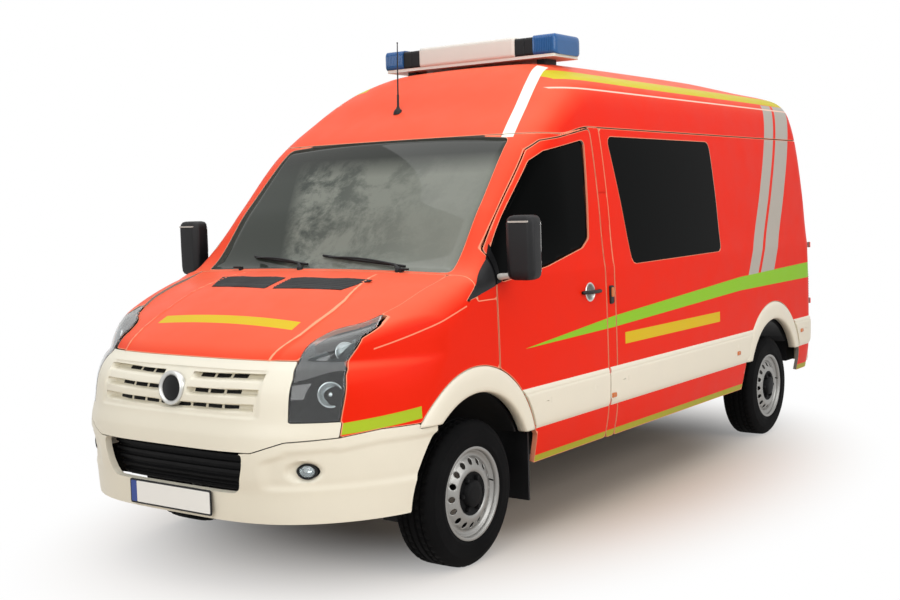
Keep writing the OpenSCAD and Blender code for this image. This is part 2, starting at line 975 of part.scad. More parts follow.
module wipers() {
    color("#17181a") {
        wiper(520, 560);
        wiper(-120, 420);
    }
}

// Cab fittings
module dashboard() {
    color("#3c3f43")
    side_prism(-850, 850)
    polygon(sx([
        [firewall - seat, 900], [firewall - seat, 1190], [330, 1240], [470, 1200], [520, 1060], [430, 900],
    ]));
}

module steering_wheel() {
    color("#1b1c1e")
    translate([440, fa + 640, 1160 * kz])
    rotate([58, 0, 0]) {
        rotate_extrude($fn = 48)
        translate([195, 0])
        circle(15, $fn = 24);
        rod_x(-192, 192, 0, -3, 9);
        translate([0, 0, -190])
        cylinder(h = 200, r = 46, $fn = 32);
    }
}

module seat_at(x, y, w) {
    translate([0, y, floor_height]) {
        side_prism(x - w / 2, x + w / 2)
        polygon([
            [-260, 240], [-260, 335], [-235, 360], [135, 345], [268, 885], [300, 900],
            [370, 880], [378, 855], [265, 380], [245, 240],
        ]);
        side_prism(x - w / 2 + 40, x + w / 2 - 40)
        polygon([[-190, -seat], [-190, 262], [225, 262], [225, -seat]]);
        side_prism(x - min(w, 280) / 2, x + min(w, 280) / 2)
        polygon([[285, 870], [322, 1050], [345, 1062], [395, 1050], [405, 1030], [355, 850]]);
    }
}

module cab_seats() {
    color("#2f3338") {
        seat_at(440, fa + 960, 500);
        seat_at(-330, fa + 960, 900);
    }
}

module crew_seats() {
    color("#2f3338")
    seat_at(-20, fa + 2050, 1450);
}

// Moving body panels
module bonnet() {
    color("#f0371e") {
        skin(0, thin_wall)
        intersection() {
            translate([0, 0, 1043 * kz])
            linear_extrude(900)
            bonnet_outline(-shut_gap / 2);
            box([-far, y_nose - 100, 1043 * kz], [far, fa + cowl - shut_gap, 1700]);
        }
        both_sides()
        difference() {
            box([560, fa + cowl - 60, bonnet_axis_z - 24], [580, fa + cowl + 9, bonnet_axis_z + 9]);
            rod_x(500, 700, fa + cowl, bonnet_axis_z, pin_r + run_clear);
        }
    }
}

module door_lugs() {
    for (z = door_hinge_z)
        difference() {
            box(
                [door_axis_x - 26, fa + door_front - 9, z * kz - 7.9],
                [door_axis_x + 9, fa + door_front + 44, z * kz + 24]
            );
            rod_z(door_axis_x, fa + door_front, z * kz - 40, z * kz + 60, pin_r + run_clear);
            box(
                [door_axis_x - 40, fa + door_front - 20, z * kz - 30],
                [door_axis_x - 9, fa + door_front + 4, z * kz + 40]
            );
        }
}

module door_panel() {
    skin(0, wall)
    side_prism(200, far)
    difference() {
        door_outline(-shut_gap / 2);
        door_window();
    }
    door_lugs();
}

module door_pane() {
    skin(glass_step, glass_step + glass_wall)
    side_prism(200, far)
    offset(delta = seat) door_window();
}

module door_trim() {
    skin(-trim_out, seat)
    intersection() {
        belt(200, 0, 2000);
        side_prism(200, far) door_outline(-shut_gap / 2);
    }
    translate([width / 2 - 9, fa + 1082, 1211 * kz])
    rotate([90, 0, 90])
    cylinder(h = 20, r = 48, $fn = 48);
}

module mirror_unit() {
    y = fa + 235;
    low = 1325 * kz;
    high = 1630 * kz;
    box([width / 2 - 12, y - 36, low], [1075 * kx, y + 10, low + 38]);
    hull() {
        rod_z(1061 * kx, y - 26, low, high, 26);
        rod_z(1061 * kx, y + 26, low, high, 26);
        rod_z(1187 * kx, y - 22, low + 12, high - 14, 28);
        rod_z(1187 * kx, y + 22, low + 12, high - 14, 28);
    }
}

module left_door() {
    color("#f0371e") door_panel();
}

module left_door_glass() {
    color("#22282b") door_pane();
}

module left_door_trim() {
    color("#efe9dc") door_trim();
}

module left_mirror() {
    color("#17181a") mirror_unit();
}

module right_door() {
    color("#f0371e") mirror([1, 0, 0]) door_panel();
}

module right_door_glass() {
    color("#22282b") mirror([1, 0, 0]) door_pane();
}

module right_door_trim() {
    color("#efe9dc") mirror([1, 0, 0]) door_trim();
}

module right_mirror() {
    color("#17181a") mirror([1, 0, 0]) mirror_unit();
}

module rear_leaf() {
    skin(0, wall)
    difference() {
        intersection() {
            front_prism(y_skin - 140, y_tail + 100) rear_opening(-shut_gap);
            box([shut_gap / 2, y_skin - 150, rear_bumper_top + 10], [far, y_tail + 200, 3000]);
        }
        front_prism(y_skin - 300, y_tail + 300) rear_window_outline();
    }
    for (z = hinge_z)
        difference() {
            box(
                [rear_axis_x - 80, rear_axis_y - 9, z * kz - 9.9],
                [rear_axis_x + 9, rear_axis_y + 9, z * kz + 30]
            );
            rod_z(rear_axis_x, rear_axis_y, z * kz - 40, z * kz + 60, pin_r + run_clear);
        }
    for (z = hinge_z)
        box(
            [rear_axis_x - 90, rear_axis_y - 90, z * kz - 9.9],
            [rear_axis_x - 70, rear_axis_y + 9, z * kz + 30]
        );
}

module rear_pane() {
    skin(glass_step, glass_step + glass_wall)
    front_prism(y_skin - 300, y_tail + 300)
    offset(delta = seat) rear_window_outline();
}

module left_rear_door() {
    color("#f0371e") rear_leaf();
}

module left_rear_glass() {
    color("#22282b") rear_pane();
}

module right_rear_door() {
    color("#f0371e") mirror([1, 0, 0]) rear_leaf();
}

module right_rear_glass() {
    color("#22282b") mirror([1, 0, 0]) rear_pane();
}

module bonnet_pins() {
    color("#3a3b3e")
    both_sides() {
        rod_x(540, 588, fa + cowl, bonnet_axis_z, pin_r);
        box([535, fa + cowl - 4, 1340 * kz], [548 + seat, fa + cowl + 18, bonnet_axis_z + 3]);
    }
}

// Node to draw, or all of them

floor_pan();
cab_frame();
left_side_panel();
right_side_panel();
sliding_door();
roof();
front_wings();
grille();
front_bumper();
lower_intake_grille();
headlamps();
fog_lamps();
windscreen();
side_glass();
wheel_liners();
quarter_trims();
tail_lamps();
rear_bumper();
side_mouldings();
wheel_arch_trims();
mud_flaps();
light_bar();
light_bar_domes();
antenna();
wipers();
bonnet_pins();
front_subframe();
rear_axle();
engine_block();
exhaust();
fuel_tank();
dashboard();
steering_wheel();
cab_seats();
crew_seats();
bonnet();
left_door();
left_door_glass();
left_door_trim();
left_mirror();
right_door();
right_door_glass();
right_door_trim();
right_mirror();
left_rear_door();
left_rear_glass();
right_rear_door();
right_rear_glass();
front_left_knuckle();
front_right_knuckle();
front_left_tyre();
front_left_rim();
front_right_tyre();
front_right_rim();
rear_left_tyre();
rear_left_rim();
rear_right_tyre();
rear_right_rim();
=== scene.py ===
import math

import bmesh
import bpy
import numpy as np
from mathutils import Matrix


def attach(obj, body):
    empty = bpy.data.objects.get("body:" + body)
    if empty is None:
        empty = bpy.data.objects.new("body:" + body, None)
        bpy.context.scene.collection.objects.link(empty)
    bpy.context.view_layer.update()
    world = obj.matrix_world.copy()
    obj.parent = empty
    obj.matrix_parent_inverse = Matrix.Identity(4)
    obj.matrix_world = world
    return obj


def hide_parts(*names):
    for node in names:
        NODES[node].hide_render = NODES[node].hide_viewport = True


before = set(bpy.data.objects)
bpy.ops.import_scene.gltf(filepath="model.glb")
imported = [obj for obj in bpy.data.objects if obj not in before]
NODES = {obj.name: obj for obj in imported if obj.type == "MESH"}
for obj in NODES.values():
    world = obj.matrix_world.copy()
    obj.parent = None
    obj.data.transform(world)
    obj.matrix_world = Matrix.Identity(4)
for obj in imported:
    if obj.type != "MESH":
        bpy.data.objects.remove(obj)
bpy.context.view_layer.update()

# Places along the van, in metres: front axle, rear axle, tail and rear skin. In the tables below, s is the distance
# behind the front axle, x the breadth from the middle and z the height
FA, RA, TAIL, SKIN = -1.785, 1.880, 2.785, 2.755
AXLE, END = RA - FA, TAIL - FA
# Gap between panels, the heights of the flank's lower and upper edges, and the rear edge of the cab's post
GAP, SILL, GUTTER_Z, POST = 0.006, 0.392, 2.080, 1.352
HALF_GAP = GAP / 2


# The body's form
def curve(*rows):
    """Monotone cubic through rows (position, value): each slope is the harmonic mean of the chords beside it, or zero
    at a turning point. Sampled finely once and read by linear interpolation."""
    x, y = np.array(rows, float).T
    h, d = np.diff(x), np.diff(y) / np.diff(x)
    m = np.concatenate([d[:1], np.zeros(len(x) - 2), d[-1:]])
    turn = d[:-1] * d[1:] > 0
    a, b = np.where(turn, d[:-1], 1), np.where(turn, d[1:], 1)
    w1, w2 = 2 * h[1:] + h[:-1], h[1:] + 2 * h[:-1]
    m[1:-1] = np.where(turn, (w1 + w2) / (w1 / a + w2 / b), 0)
    t = np.linspace(x[0], x[-1], 1500)
    i = np.clip(np.searchsorted(x, t) - 1, 0, len(h) - 1)
    u = (t - x[i]) / h[i]
    v = (1 + 2 * u) * (1 - u) ** 2 * y[i] + u * (1 - u) ** 2 * h[i] * m[i]
    v += u * u * (3 - 2 * u) * y[i + 1] + u * u * (u - 1) * h[i] * m[i + 1]
    return lambda p: np.interp(p, t, v)


# Half breadth by height; its loss towards the nose, the top's height, its fall across to the edge, and its fall at
# the tail
SIDE = curve((0.2, 0.935), (0.35, 0.955), (0.576, 0.990), (0.806, 0.993), (1.305, 0.9835), (1.327, 0.9825),
             (1.345, 0.979), (1.70, 0.946), (2.03, 0.905), (2.25, 0.855), (2.36, 0.800), (2.42, 0.690), (2.50, 0.560))
NOSE = curve((-1.02, 0.345), (-0.905, 0.194), (-0.795, 0.112), (-0.655, 0.051), (-0.455, 0.014), (-0.205, 0), (6, 0))
TOP = curve((-1.01, 0.950), (-0.863, 1.039), (-0.70, 1.134), (-0.51, 1.228), (-0.28, 1.318), (-0.10, 1.360),
            (0.042, 1.376), (0.35, 1.704), (0.66, 2.026), (0.938, 2.216), (1.133, 2.338), (1.284, 2.410), (1.40, 2.434),
            (1.60, 2.446), (2.60, 2.450), (4.60, 2.440))
CROWN = curve((-1.01, 0.040), (-0.863, 0.050), (-0.51, 0.070), (-0.10, 0.040), (0.042, 0.016), (0.66, 0.044),
              (1.40, 0.034), (4.60, 0.034))
DROP = curve((-0.05, 0.24), (0, 0.150), (0.03, 0.096), (0.06, 0.048), (0.11, 0.018), (0.20, 0), (6, 0))
# The nose's place and the tail's lean by height, the bonnet's half breadth, and the rounding between flank and top
FRONT = curve((-0.15, -0.920), (0.28, -0.955), (0.38, -0.968), (0.48, -0.976), (0.56, -0.994), (0.65, -1.000),
              (0.72, -0.995), (0.79, -0.976), (0.911, -0.952), (1.00, -0.905), (1.039, -0.866), (1.10, -0.862),
              (2.70, -0.862))
REAR = curve((-0.15, 0), (1.30, 0), (2.00, 0.024), (2.33, 0.060), (2.45, 0.110), (2.70, 0.110))
BONNET = curve((-1.01, 0.600), (-0.76, 0.600), (-0.69, 0.604), (-0.60, 0.636), (-0.48, 0.750), (-0.43, 0.775),
               (-0.30, 0.815), (0.06, 0.826))
EDGE = curve((-1.1, 0.06), (-0.8, 0.08), (-0.5, 0.16), (-0.1, 0.14), (0.05, 0.09), (0.7, 0.12), (1.3, 0.16), (6, 0.16))
# Half breadth of the bonnet's two crease lines
FOLD = ((-0.86, 0.462), (-0.80, 0.470), (-0.655, 0.510), (-0.45, 0.525), (-0.364, 0.522), (-0.04, 0.442))
PILLAR_TAPER = 0.055


def smooth(t):
    """Step from 0 to 1 with level ends: 3t² - 2t³ between them."""
    t = np.clip(t, 0, 1)
    return t * t * (3 - 2 * t)


def smaller(a, b, k):
    """The lesser of a and b, rounded off where they differ by less than k."""
    h = np.maximum(k - np.abs(a - b), 0) / k
    return np.minimum(a, b) - h * h * k / 4


def least(*depths):
    """The least of several depths, point by point."""
    return np.minimum.reduce(depths)


def field(p):
    """Depth of points below the painted skin: the least of the depths behind the flank, the top, the nose and the tail,
    with rounded edges between them. The flank draws in towards the windscreen."""
    x, y, z = np.abs(p[..., 0]), p[..., 1], p[..., 2]
    s = y - FA
    flank = SIDE(z) - NOSE(s) - PILLAR_TAPER * smooth((z - 1.34) / 0.30) * smooth((0.95 - s) / 0.75) - x
    slope = (TOP(s + 0.02) - TOP(s - 0.02)) / 0.04
    top = (TOP(s) - DROP(TAIL - y) - CROWN(s) * (x / 0.9) ** 2 - z) / np.sqrt(1 + slope * slope)
    nose = (s - FRONT(z) - 0.40 * (x / 0.9) ** 3.9) * 0.95
    tail = SKIN - REAR(z) - 0.04 * (x / 0.9) ** 2 - y
    return smaller(smaller(smaller(flank, top, EDGE(s)), nose, 0.08), tail, 0.17)


def hit(base, ray, level):
    """Walks out from base along ray to where the depth falls to level, by halving the interval."""
    near, far = np.zeros(base.shape[:-1]), np.full(base.shape[:-1], 1.6)
    for _ in range(23):
        mid = (near + far) / 2
        inside = field(base + ray * mid[..., None]) > level
        near, far = np.where(inside, mid, near), np.where(inside, far, mid)
    return base + ray * near[..., None]


# The plan's corners: breadth where the ray starts to turn, length of the turn, and the places of the two turning
# points
PIVOT, TURN, Y0, Y1 = 0.45, 0.90, FA - 0.30, SKIN - 0.45
P_SIDE = PIVOT + TURN - Y0
P_REAR = P_SIDE + Y1
P_END = P_REAR + TURN + PIVOT


def wall(p, z, level=0.0):
    """The upright skin: p runs round the plan from the nose's middle along the flank to the tail's middle (p is y plus
    a constant along the flank, negative on the right), z is the height, and the ray turns through a right angle at each
    corner."""
    side, p = np.where(p < 0, -1.0, 1.0), np.abs(p)
    turn = np.clip((p - PIVOT) / TURN, 0, 1) * math.pi / 2 + np.clip((p - P_REAR) / TURN, 0, 1) * math.pi / 2
    bx = np.minimum(p, PIVOT) - np.maximum(p - P_REAR - TURN, 0)
    by = np.clip(p - P_SIDE, Y0, Y1)
    base = np.stack([bx * side, by, z], -1)
    ray = np.stack([np.sin(turn) * side, -np.cos(turn), 0 * z], -1)
    return hit(base, ray, level)


def arch(q, y, level=0.0):
    """The upper skin: q runs across a section from the middle of the top outwards and then down the flank, y is the
    place along the van, and the ray turns from upright to level about a line below the top's edge."""
    side, q = np.where(q < 0, -1.0, 1.0), np.abs(q)
    turn = np.clip((q - 0.5) / 0.6, 0, 1) * math.pi / 2
    deep = TOP(y - FA) - DROP(TAIL - y) - 0.30 - np.maximum(q - 1.1, 0)
    base = np.stack([np.minimum(q, 0.5) * side, y, deep], -1)
    ray = np.stack([np.sin(turn) * side, 0 * y, np.cos(turn)], -1)
    return hit(base, ray, level)


def corner(a, e, level=0.0):
    """The skin at the nose's corner, met along rays from a point inside it: a is the ray's turn from straight ahead
    towards the side, e its rise above level."""
    ray = np.stack([np.sin(a) * np.cos(e), -np.cos(a) * np.cos(e), np.sin(e)], -1)
    return hit(np.broadcast_to((0.42, FA - 0.40, 0.88), ray.shape), ray, level)


def flank(s, z, level=0.0):
    """The skin met from inside along X, at distance s behind the front axle and height z."""
    s, z = np.broadcast_arrays(np.asarray(s, float), np.asarray(z, float))
    base = np.stack([0 * s + 0.30, FA + s, z], -1)
    return hit(base, np.broadcast_to((1.0, 0.0, 0.0), base.shape), level)


# Outlines and panels
def rounded(points, r, n=6):
    """Polygon with each corner replaced by a quadratic arc that starts r / tan(half the corner's angle) away from
    it."""
    pts, out = np.array(points, float), []
    for a, b, c in zip(np.roll(pts, 1, 0), pts, np.roll(pts, -1, 0)):
        la, lc = np.linalg.norm(a - b), np.linalg.norm(c - b)
        ua, uc = (a - b) / la, (c - b) / lc
        half = math.acos(np.clip(ua @ uc, -1, 1)) / 2
        d = min(r / math.tan(half), 0.45 * la, 0.45 * lc)
        t = np.linspace(0, 1, n)[:, None]
        out.append((1 - t) ** 2 * (b + ua * d) + 2 * t * (1 - t) * b + t * t * (b + uc * d))
    return np.concatenate(out)


def outline(points, r=0.0):
    """Signed distance to a polygon, positive inside: least distance to its sides, with the crossing rule for the
    sign."""
    pts = rounded(points, r) if r else np.array(points, float)

    def distance(a, b):
        """Distance of points (a, b) to the nearest side, negative outside."""
        least_square, inside = np.full(np.shape(a), 1e9), np.zeros(np.shape(a), bool)
        for (x0, y0), (x1, y1) in zip(pts, np.roll(pts, -1, 0)):
            ex, ey = x1 - x0, y1 - y0
            t = np.clip(((a - x0) * ex + (b - y0) * ey) / (ex * ex + ey * ey + 1e-18), 0, 1)
            least_square = np.minimum(least_square, (a - x0 - t * ex) ** 2 + (b - y0 - t * ey) ** 2)
            cross = ((y0 > b) != (y1 > b)) & (a < ex * (b - y0) / (ey if ey else 1e-18) + x0)
            inside = inside ^ cross
        return np.where(inside, 1, -1) * np.sqrt(least_square)

    return distance


def span(a, b, step):
    """Evenly spaced values from a to b, about step apart."""
    return np.linspace(a, b, max(2, int(round(abs(b - a) / step)) + 1))


def along(s0, s1, step):
    """Places of the upright skin along the flank, between two distances behind the front axle."""
    return span(P_SIDE + FA + s0, P_SIDE + FA + s1, step)


def panel(family, u, v, keep, level=0.0):
    """Grid of the surface family(u, v), kept where keep(point) is positive: grid points within half a cell of the edge
    slide onto it by Newton steps in u and v, and cells with three corners left become triangles."""
    gu, gv = np.meshgrid(u, v, indexing="ij")
    at = lambda a, b: family(a, b, level(a, b) if callable(level) else level)
    p = at(gu, gv)
    f = keep(p)
    su, sv = np.gradient(gu, axis=0), np.gradient(gv, axis=1)
    fu, fv = np.gradient(f, axis=0), np.gradient(f, axis=1)
    size = fu * fu + fv * fv + 1e-12
    near = np.maximum(np.abs(f * fu), np.abs(f * fv)) / size <= 0.56
    a, b, da, db = gu[near], gv[near], su[near], sv[near]
    for _ in range(4):
        g = keep(at(a, b))
        ga = (keep(at(a + 0.02 * da, b)) - g) / 0.02
        gb = (keep(at(a, b + 0.02 * db)) - g) / 0.02
        n = ga * ga + gb * gb + 1e-12
        a = a - np.clip(g * ga / n, -0.3, 0.3) * da
        b = b - np.clip(g * gb / n, -0.3, 0.3) * db
    p[near] = at(a, b)
    f[near] = keep(p[near])
    good = f > -0.0008
    index = np.arange(good.size).reshape(good.shape)
    quad = np.stack([index[:-1, :-1], index[1:, :-1], index[1:, 1:], index[:-1, 1:]], -1).reshape(-1, 4)
    ok = good.reshape(-1)[quad]
    quads = quad[ok.all(1)]
    some = ok.sum(1) == 3
    faces = [quads, quad[some][ok[some]].reshape(-1, 3)]
    flat = p.reshape(-1, 3)
    c = flat[quads[:, 0]]
    normal = np.cross(flat[quads[:, 1]] - c, flat[quads[:, 3]] - c)
    mid = flat[quads].mean(1)
    if (normal * (mid - mid.mean(0) + outward(mid))).sum() < 0:
        faces = [q[:, ::-1] for q in faces]
    return flat, faces, f.reshape(-1)


def outward(p):
    """Direction away from the van's middle line, weighted towards up."""
    return 4 * (p - np.array([0, 0.2, 1.0])) * np.array([1.0, 0.35, 0.9])


def mirrored(part):
    """The same surface on the other side, with its faces turned round."""
    v, faces, rim = part
    return v * np.array([-1.0, 1, 1]), [f[:, ::-1] for f in faces], rim


def joined(*parts):
    """Several surfaces as one."""
    verts, faces, n = [], [], 0
    for v, fs, _ in parts:
        verts.append(v)
        faces += [f + n for f in fs]
        n += len(v)
    return np.concatenate(verts), faces, np.concatenate([rim for _, _, rim in parts])


def both(part):
    """A surface and its mirror image as one."""
    return joined(part, mirrored(part))


# The van's sides, each with what turns a left piece into its own
SIDES = (("left", lambda part: part), ("right", mirrored))


def grid(p, loop_u=False, loop_v=False):
    """Quads over a grid of points, closed round u or v where asked."""
    nu, nv = p.shape[:2]
    index = np.arange(nu * nv).reshape(nu, nv)
    index = np.concatenate([index, index[:1]], 0) if loop_u else index
    index = np.concatenate([index, index[:, :1]], 1) if loop_v else index
    quad = np.stack([index[:-1, :-1], index[1:, :-1], index[1:, 1:], index[:-1, 1:]], -1).reshape(-1, 4)
    return p.reshape(-1, 3), [quad], np.full(nu * nv, 1.0)


def outside(part):
    """A closed surface with its faces turned outwards: they are reversed where the volume they enclose is negative."""
    v, faces, rim = part
    fans = [(f, i) for f in faces for i in range(1, f.shape[1] - 1)]
    volume = sum((v[f[:, 0]] * np.cross(v[f[:, i]], v[f[:, i + 1]])).sum() for f, i in fans)
    return (v, faces, rim) if volume > 0 else (v, [f[:, ::-1] for f in faces], rim)


def unit(v):
    """Vectors scaled to length one."""
    v = np.array(v, float)
    return v / np.linalg.norm(v, axis=-1, keepdims=True)


def lathe(rows, centre, axis, n=64, loop=False):
    """Surface of revolution: rows of (radius, height) turned about axis through centre, and joined end to end if
    loop."""
    axis = unit(axis)
    e1 = unit(np.cross(axis, (0.31, 0.52, 0.79)))
    e2 = np.cross(axis, e1)
    r, h = np.array(rows, float).T
    t = np.linspace(0, 2 * math.pi, n, endpoint=False)
    turn = np.cos(t)[:, None] * e1 + np.sin(t)[:, None] * e2
    p = np.array(centre) + r[:, None, None] * turn + h[:, None, None] * axis
    return outside(grid(p, loop_u=loop, loop_v=True))


def tube(points, radius, n=14, flat=1.0, up=(0, 0, 1)):
    """Circle carried along a path: its plane is square to the path, its second axis is squeezed by flat, and both ends
    close to a point."""
    p = np.array(points, float)
    r = np.concatenate([[0], np.full(len(p), 1.0) * radius, [0]])
    p = np.concatenate([p[:1], p, p[-1:]])
    t = unit(np.gradient(p[1:-1], axis=0))
    t = np.concatenate([t[:1], t, t[-1:]])
    side = unit(np.cross(t, up))
    rise = np.cross(side, t)
    a = np.linspace(0, 2 * math.pi, n, endpoint=False)
    ring = np.cos(a)[:, None] * side[:, None] + flat * np.sin(a)[:, None] * rise[:, None]
    return outside(grid(p[:, None] + r[:, None, None] * ring, loop_v=True))


def loft(rings):
    """Skin over a row of closed rings of equal count, with a flat face over each end."""
    rings = np.array(rings, float)
    n, m = rings.shape[:2]
    v, faces, rim = grid(rings, loop_v=True)
    ends = [np.arange(m)[None, ::-1], (n - 1) * m + np.arange(m)[None]]
    return outside((v, faces + ends, rim))


def block(low, high, r, axis=2, stations=((0, 1), (1, 1))):
    """Box from low to high whose outline across axis has corners of radius r: rings at stations (place from 0 to 1,
    scale about the middle) along axis."""
    low, high = np.array(low, float), np.array(high, float)
    a, b = [k for k in range(3) if k != axis]
    ring = rounded([(low[a], low[b]), (high[a], low[b]), (high[a], high[b]), (low[a], high[b])], r)
    mid = (low + high)[[a, b]] / 2
    out = np.zeros((len(stations), len(ring), 3))
    for k, (t, scale) in enumerate(stations):
        out[k][:, [a, b]] = mid + (ring - mid) * scale
        out[k][:, axis] = low[axis] + t * (high[axis] - low[axis])
    return loft(out)


def piece(name, part, material, body="body", replaces=(), thick=0.0, bevel=0.0, sub=0, weld=0.0002, slot=None):
    """Mesh object from a surface: loose points dropped, doubles merged, then thickness inwards and rolled edges. Its
    slot, its material's unless another is named, is worked out but not given to the object."""
    verts, faces, rim = part
    faces = [f for f in faces if len(f)]
    used = np.unique(np.concatenate([f.reshape(-1) for f in faces]))
    back = np.zeros(len(verts), int)
    back[used] = np.arange(len(used))
    mesh = bpy.data.meshes.new(name)
    mesh.from_pydata(verts[used].tolist(), [], [q for f in faces for q in back[f].tolist()])
    mesh.attributes.new("rim", "FLOAT", "POINT").data.foreach_set("value", np.maximum(rim[used], 0) + 0.002)
    mesh.validate()
    obj = bpy.data.objects.new(name, mesh)
    bpy.context.scene.collection.objects.link(obj)
    bm = bmesh.new()
    bm.from_mesh(mesh)
    bmesh.ops.remove_doubles(bm, verts=bm.verts, dist=weld)
    bmesh.ops.dissolve_degenerate(bm, edges=bm.edges, dist=0.0001)
    bm.to_mesh(mesh)
    bm.free()
    mesh.polygons.foreach_set("use_smooth", np.full(len(mesh.polygons), True))
    mesh.set_sharp_from_angle(angle=math.radians(48))
    mesh.materials.append(material)
    if sub:
        m = obj.modifiers.new("round", "SUBSURF")
        m.levels = m.render_levels = sub
    if thick:
        m = obj.modifiers.new("sheet", "SOLIDIFY")
        m.thickness, m.offset, m.use_even_offset = thick, -1, False
    if bevel:
        m = obj.modifiers.new("rolled edge", "BEVEL")
        m.width, m.segments, m.limit_method, m.angle_limit = bevel, 2, "ANGLE", math.radians(50)
        m.harden_normals = True
    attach(obj, body)
    if replaces:
        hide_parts(*replaces)
    slot = slot or SLOTS[material.name]
    return obj


# Materials, with the slot that each fills
SLOTS = {}


def rgb(code, alpha=1.0):
    """sRGB hex to linear colour."""
    c = np.array([int(code[i:i + 2], 16) for i in (1, 3, 5)]) / 255
    c = np.where(c <= 0.04045, c / 12.92, ((c + 0.055) / 1.055) ** 2.4)
    return (*c.tolist(), alpha)


def add(tree, kind, links=(), **sets):
    """Adds a node: names in sets are sockets or properties, links are (socket, output) pairs."""
    node = tree.nodes.new("ShaderNode" + kind)
    for key, value in sets.items():
        if hasattr(node, key):
            setattr(node, key, value)
        else:
            node.inputs[key.replace("_", " ")].default_value = value
    for socket, output in links:
        tree.links.new(output, node.inputs[socket])
    return node


def calc(tree, operation, *values, clamp=False):
    """Sum, product or comparison of values, each a number or an output."""
    node = add(tree, "Math", [(k, v) for k, v in enumerate(values) if not isinstance(v, float)], operation=operation)
    for k, v in enumerate(values):
        if isinstance(v, float):
            node.inputs[k].default_value = v
    node.use_clamp = clamp
    return node.outputs[0]


def ramp(tree, value, start, end, low=0.0, high=1.0):
    """Straight rise from low to high as value goes from start to end, level beyond them."""
    node = add(tree, "MapRange", [("Value", value)])
    for socket, number in zip(("From Min", "From Max", "To Min", "To Max"), (start, end, low, high)):
        node.inputs[socket].default_value = number
    return node.outputs[0]


def blend(tree, mask, under, over):
    """Two colours, each a hex code or an output, mixed by a mask."""
    node = add(tree, "Mix", [(0, mask)], data_type="RGBA")
    for socket, colour in ((6, under), (7, over)):
        if isinstance(colour, str):
            node.inputs[socket].default_value = rgb(colour)
        else:
            tree.links.new(colour, node.inputs[socket])
    return node.outputs[2]


def above(tree, value, limit, soft=0.002):
    """Step from 0 to 1 as value passes limit, softened over soft metres; limit is a number or another output."""
    return ramp(tree, calc(tree, "SUBTRACT", value, limit), -soft / 2, soft / 2)


def band(tree, value, low, high):
    """Mask of 1 where value lies between low and high: the step at low less the step at high."""
    return calc(tree, "SUBTRACT", above(tree, value, low), above(tree, value, high), clamp=True)


def times(tree, *values):
    """Product of several masks."""
    out = values[0]
    for v in values[1:]:
        out = calc(tree, "MULTIPLY", out, v)
    return out


def line(tree, value, points, reach=3.0):
    """Broken line through (position, height) points as a float curve on 0 to 1, widened back by reach metres."""
    x0, x1 = points[0][0], points[-1][0]
    node = add(tree, "FloatCurve", [("Value", ramp(tree, value, x0, x1))])
    c = node.mapping.curves[0]
    places = [((x - x0) / (x1 - x0), z / reach) for x, z in points]
    c.points[0].location, c.points[-1].location = places[0], places[-1]
    for place in places[1:-1]:
        c.points.new(*place)
    for q in c.points:
        q.handle_type = "VECTOR"
    node.mapping.update()
    return calc(tree, "MULTIPLY", node.outputs[0], reach)


def finish_of(name, colour, slot=None, rough=0.5, metal=0.0, ior=1.5, grain=0.0, grain_mm=1.0, vary=0.06, trans=0.0,
              rub=0.0, shine=0.5):
    """Material of one base colour with slow colour and roughness variation over about 150 mm, and a fine grain bump
    whose cells are grain_mm across."""
    mat = bpy.data.materials.new(name)
    mat.use_nodes = True
    SLOTS[mat.name] = slot
    tree = mat.node_tree
    shader = tree.nodes["Principled BSDF"]
    place = add(tree, "TexCoord").outputs["Object"]
    cloud = add(tree, "TexNoise", [("Vector", place)], Scale=7.0, Detail=4.0).outputs["Fac"]
    base = np.array(rgb(colour)[:3])
    tone = add(tree, "Mix", data_type="RGBA")
    tree.links.new(cloud, tone.inputs[0])
    tone.inputs[6].default_value = (*(base * (1 - vary)), 1)
    tone.inputs[7].default_value = (*np.minimum(base * (1 + vary), 1), 1)
    tree.links.new(tone.outputs[2], shader.inputs["Base Color"])
    gloss = ramp(tree, cloud, 0.0, 1.0, max(rough - 0.25 * rough - rub, 0.0), min(rough + 0.25 * rough + rub, 1.0))
    tree.links.new(gloss, shader.inputs["Roughness"])
    shader.inputs["Metallic"].default_value = metal
    if not metal:
        shader.inputs["IOR"].default_value = ior
    shader.inputs["Specular IOR Level"].default_value = shine
    shader.inputs["Transmission Weight"].default_value = trans
    if grain:
        fine = add(tree, "TexNoise", [("Vector", place)], Scale=1000.0 / grain_mm, Detail=2.0).outputs["Fac"]
        bump = add(tree, "Bump", [("Height", fine)], Strength=grain, Distance=0.001)
        tree.links.new(bump.outputs[0], shader.inputs["Normal"])
    return mat


def opened(mat):
    """A finish's node tree, its shader, and the output that colours it."""
    shader = mat.node_tree.nodes["Principled BSDF"]
    return mat.node_tree, shader, shader.inputs["Base Color"].links[0].from_socket


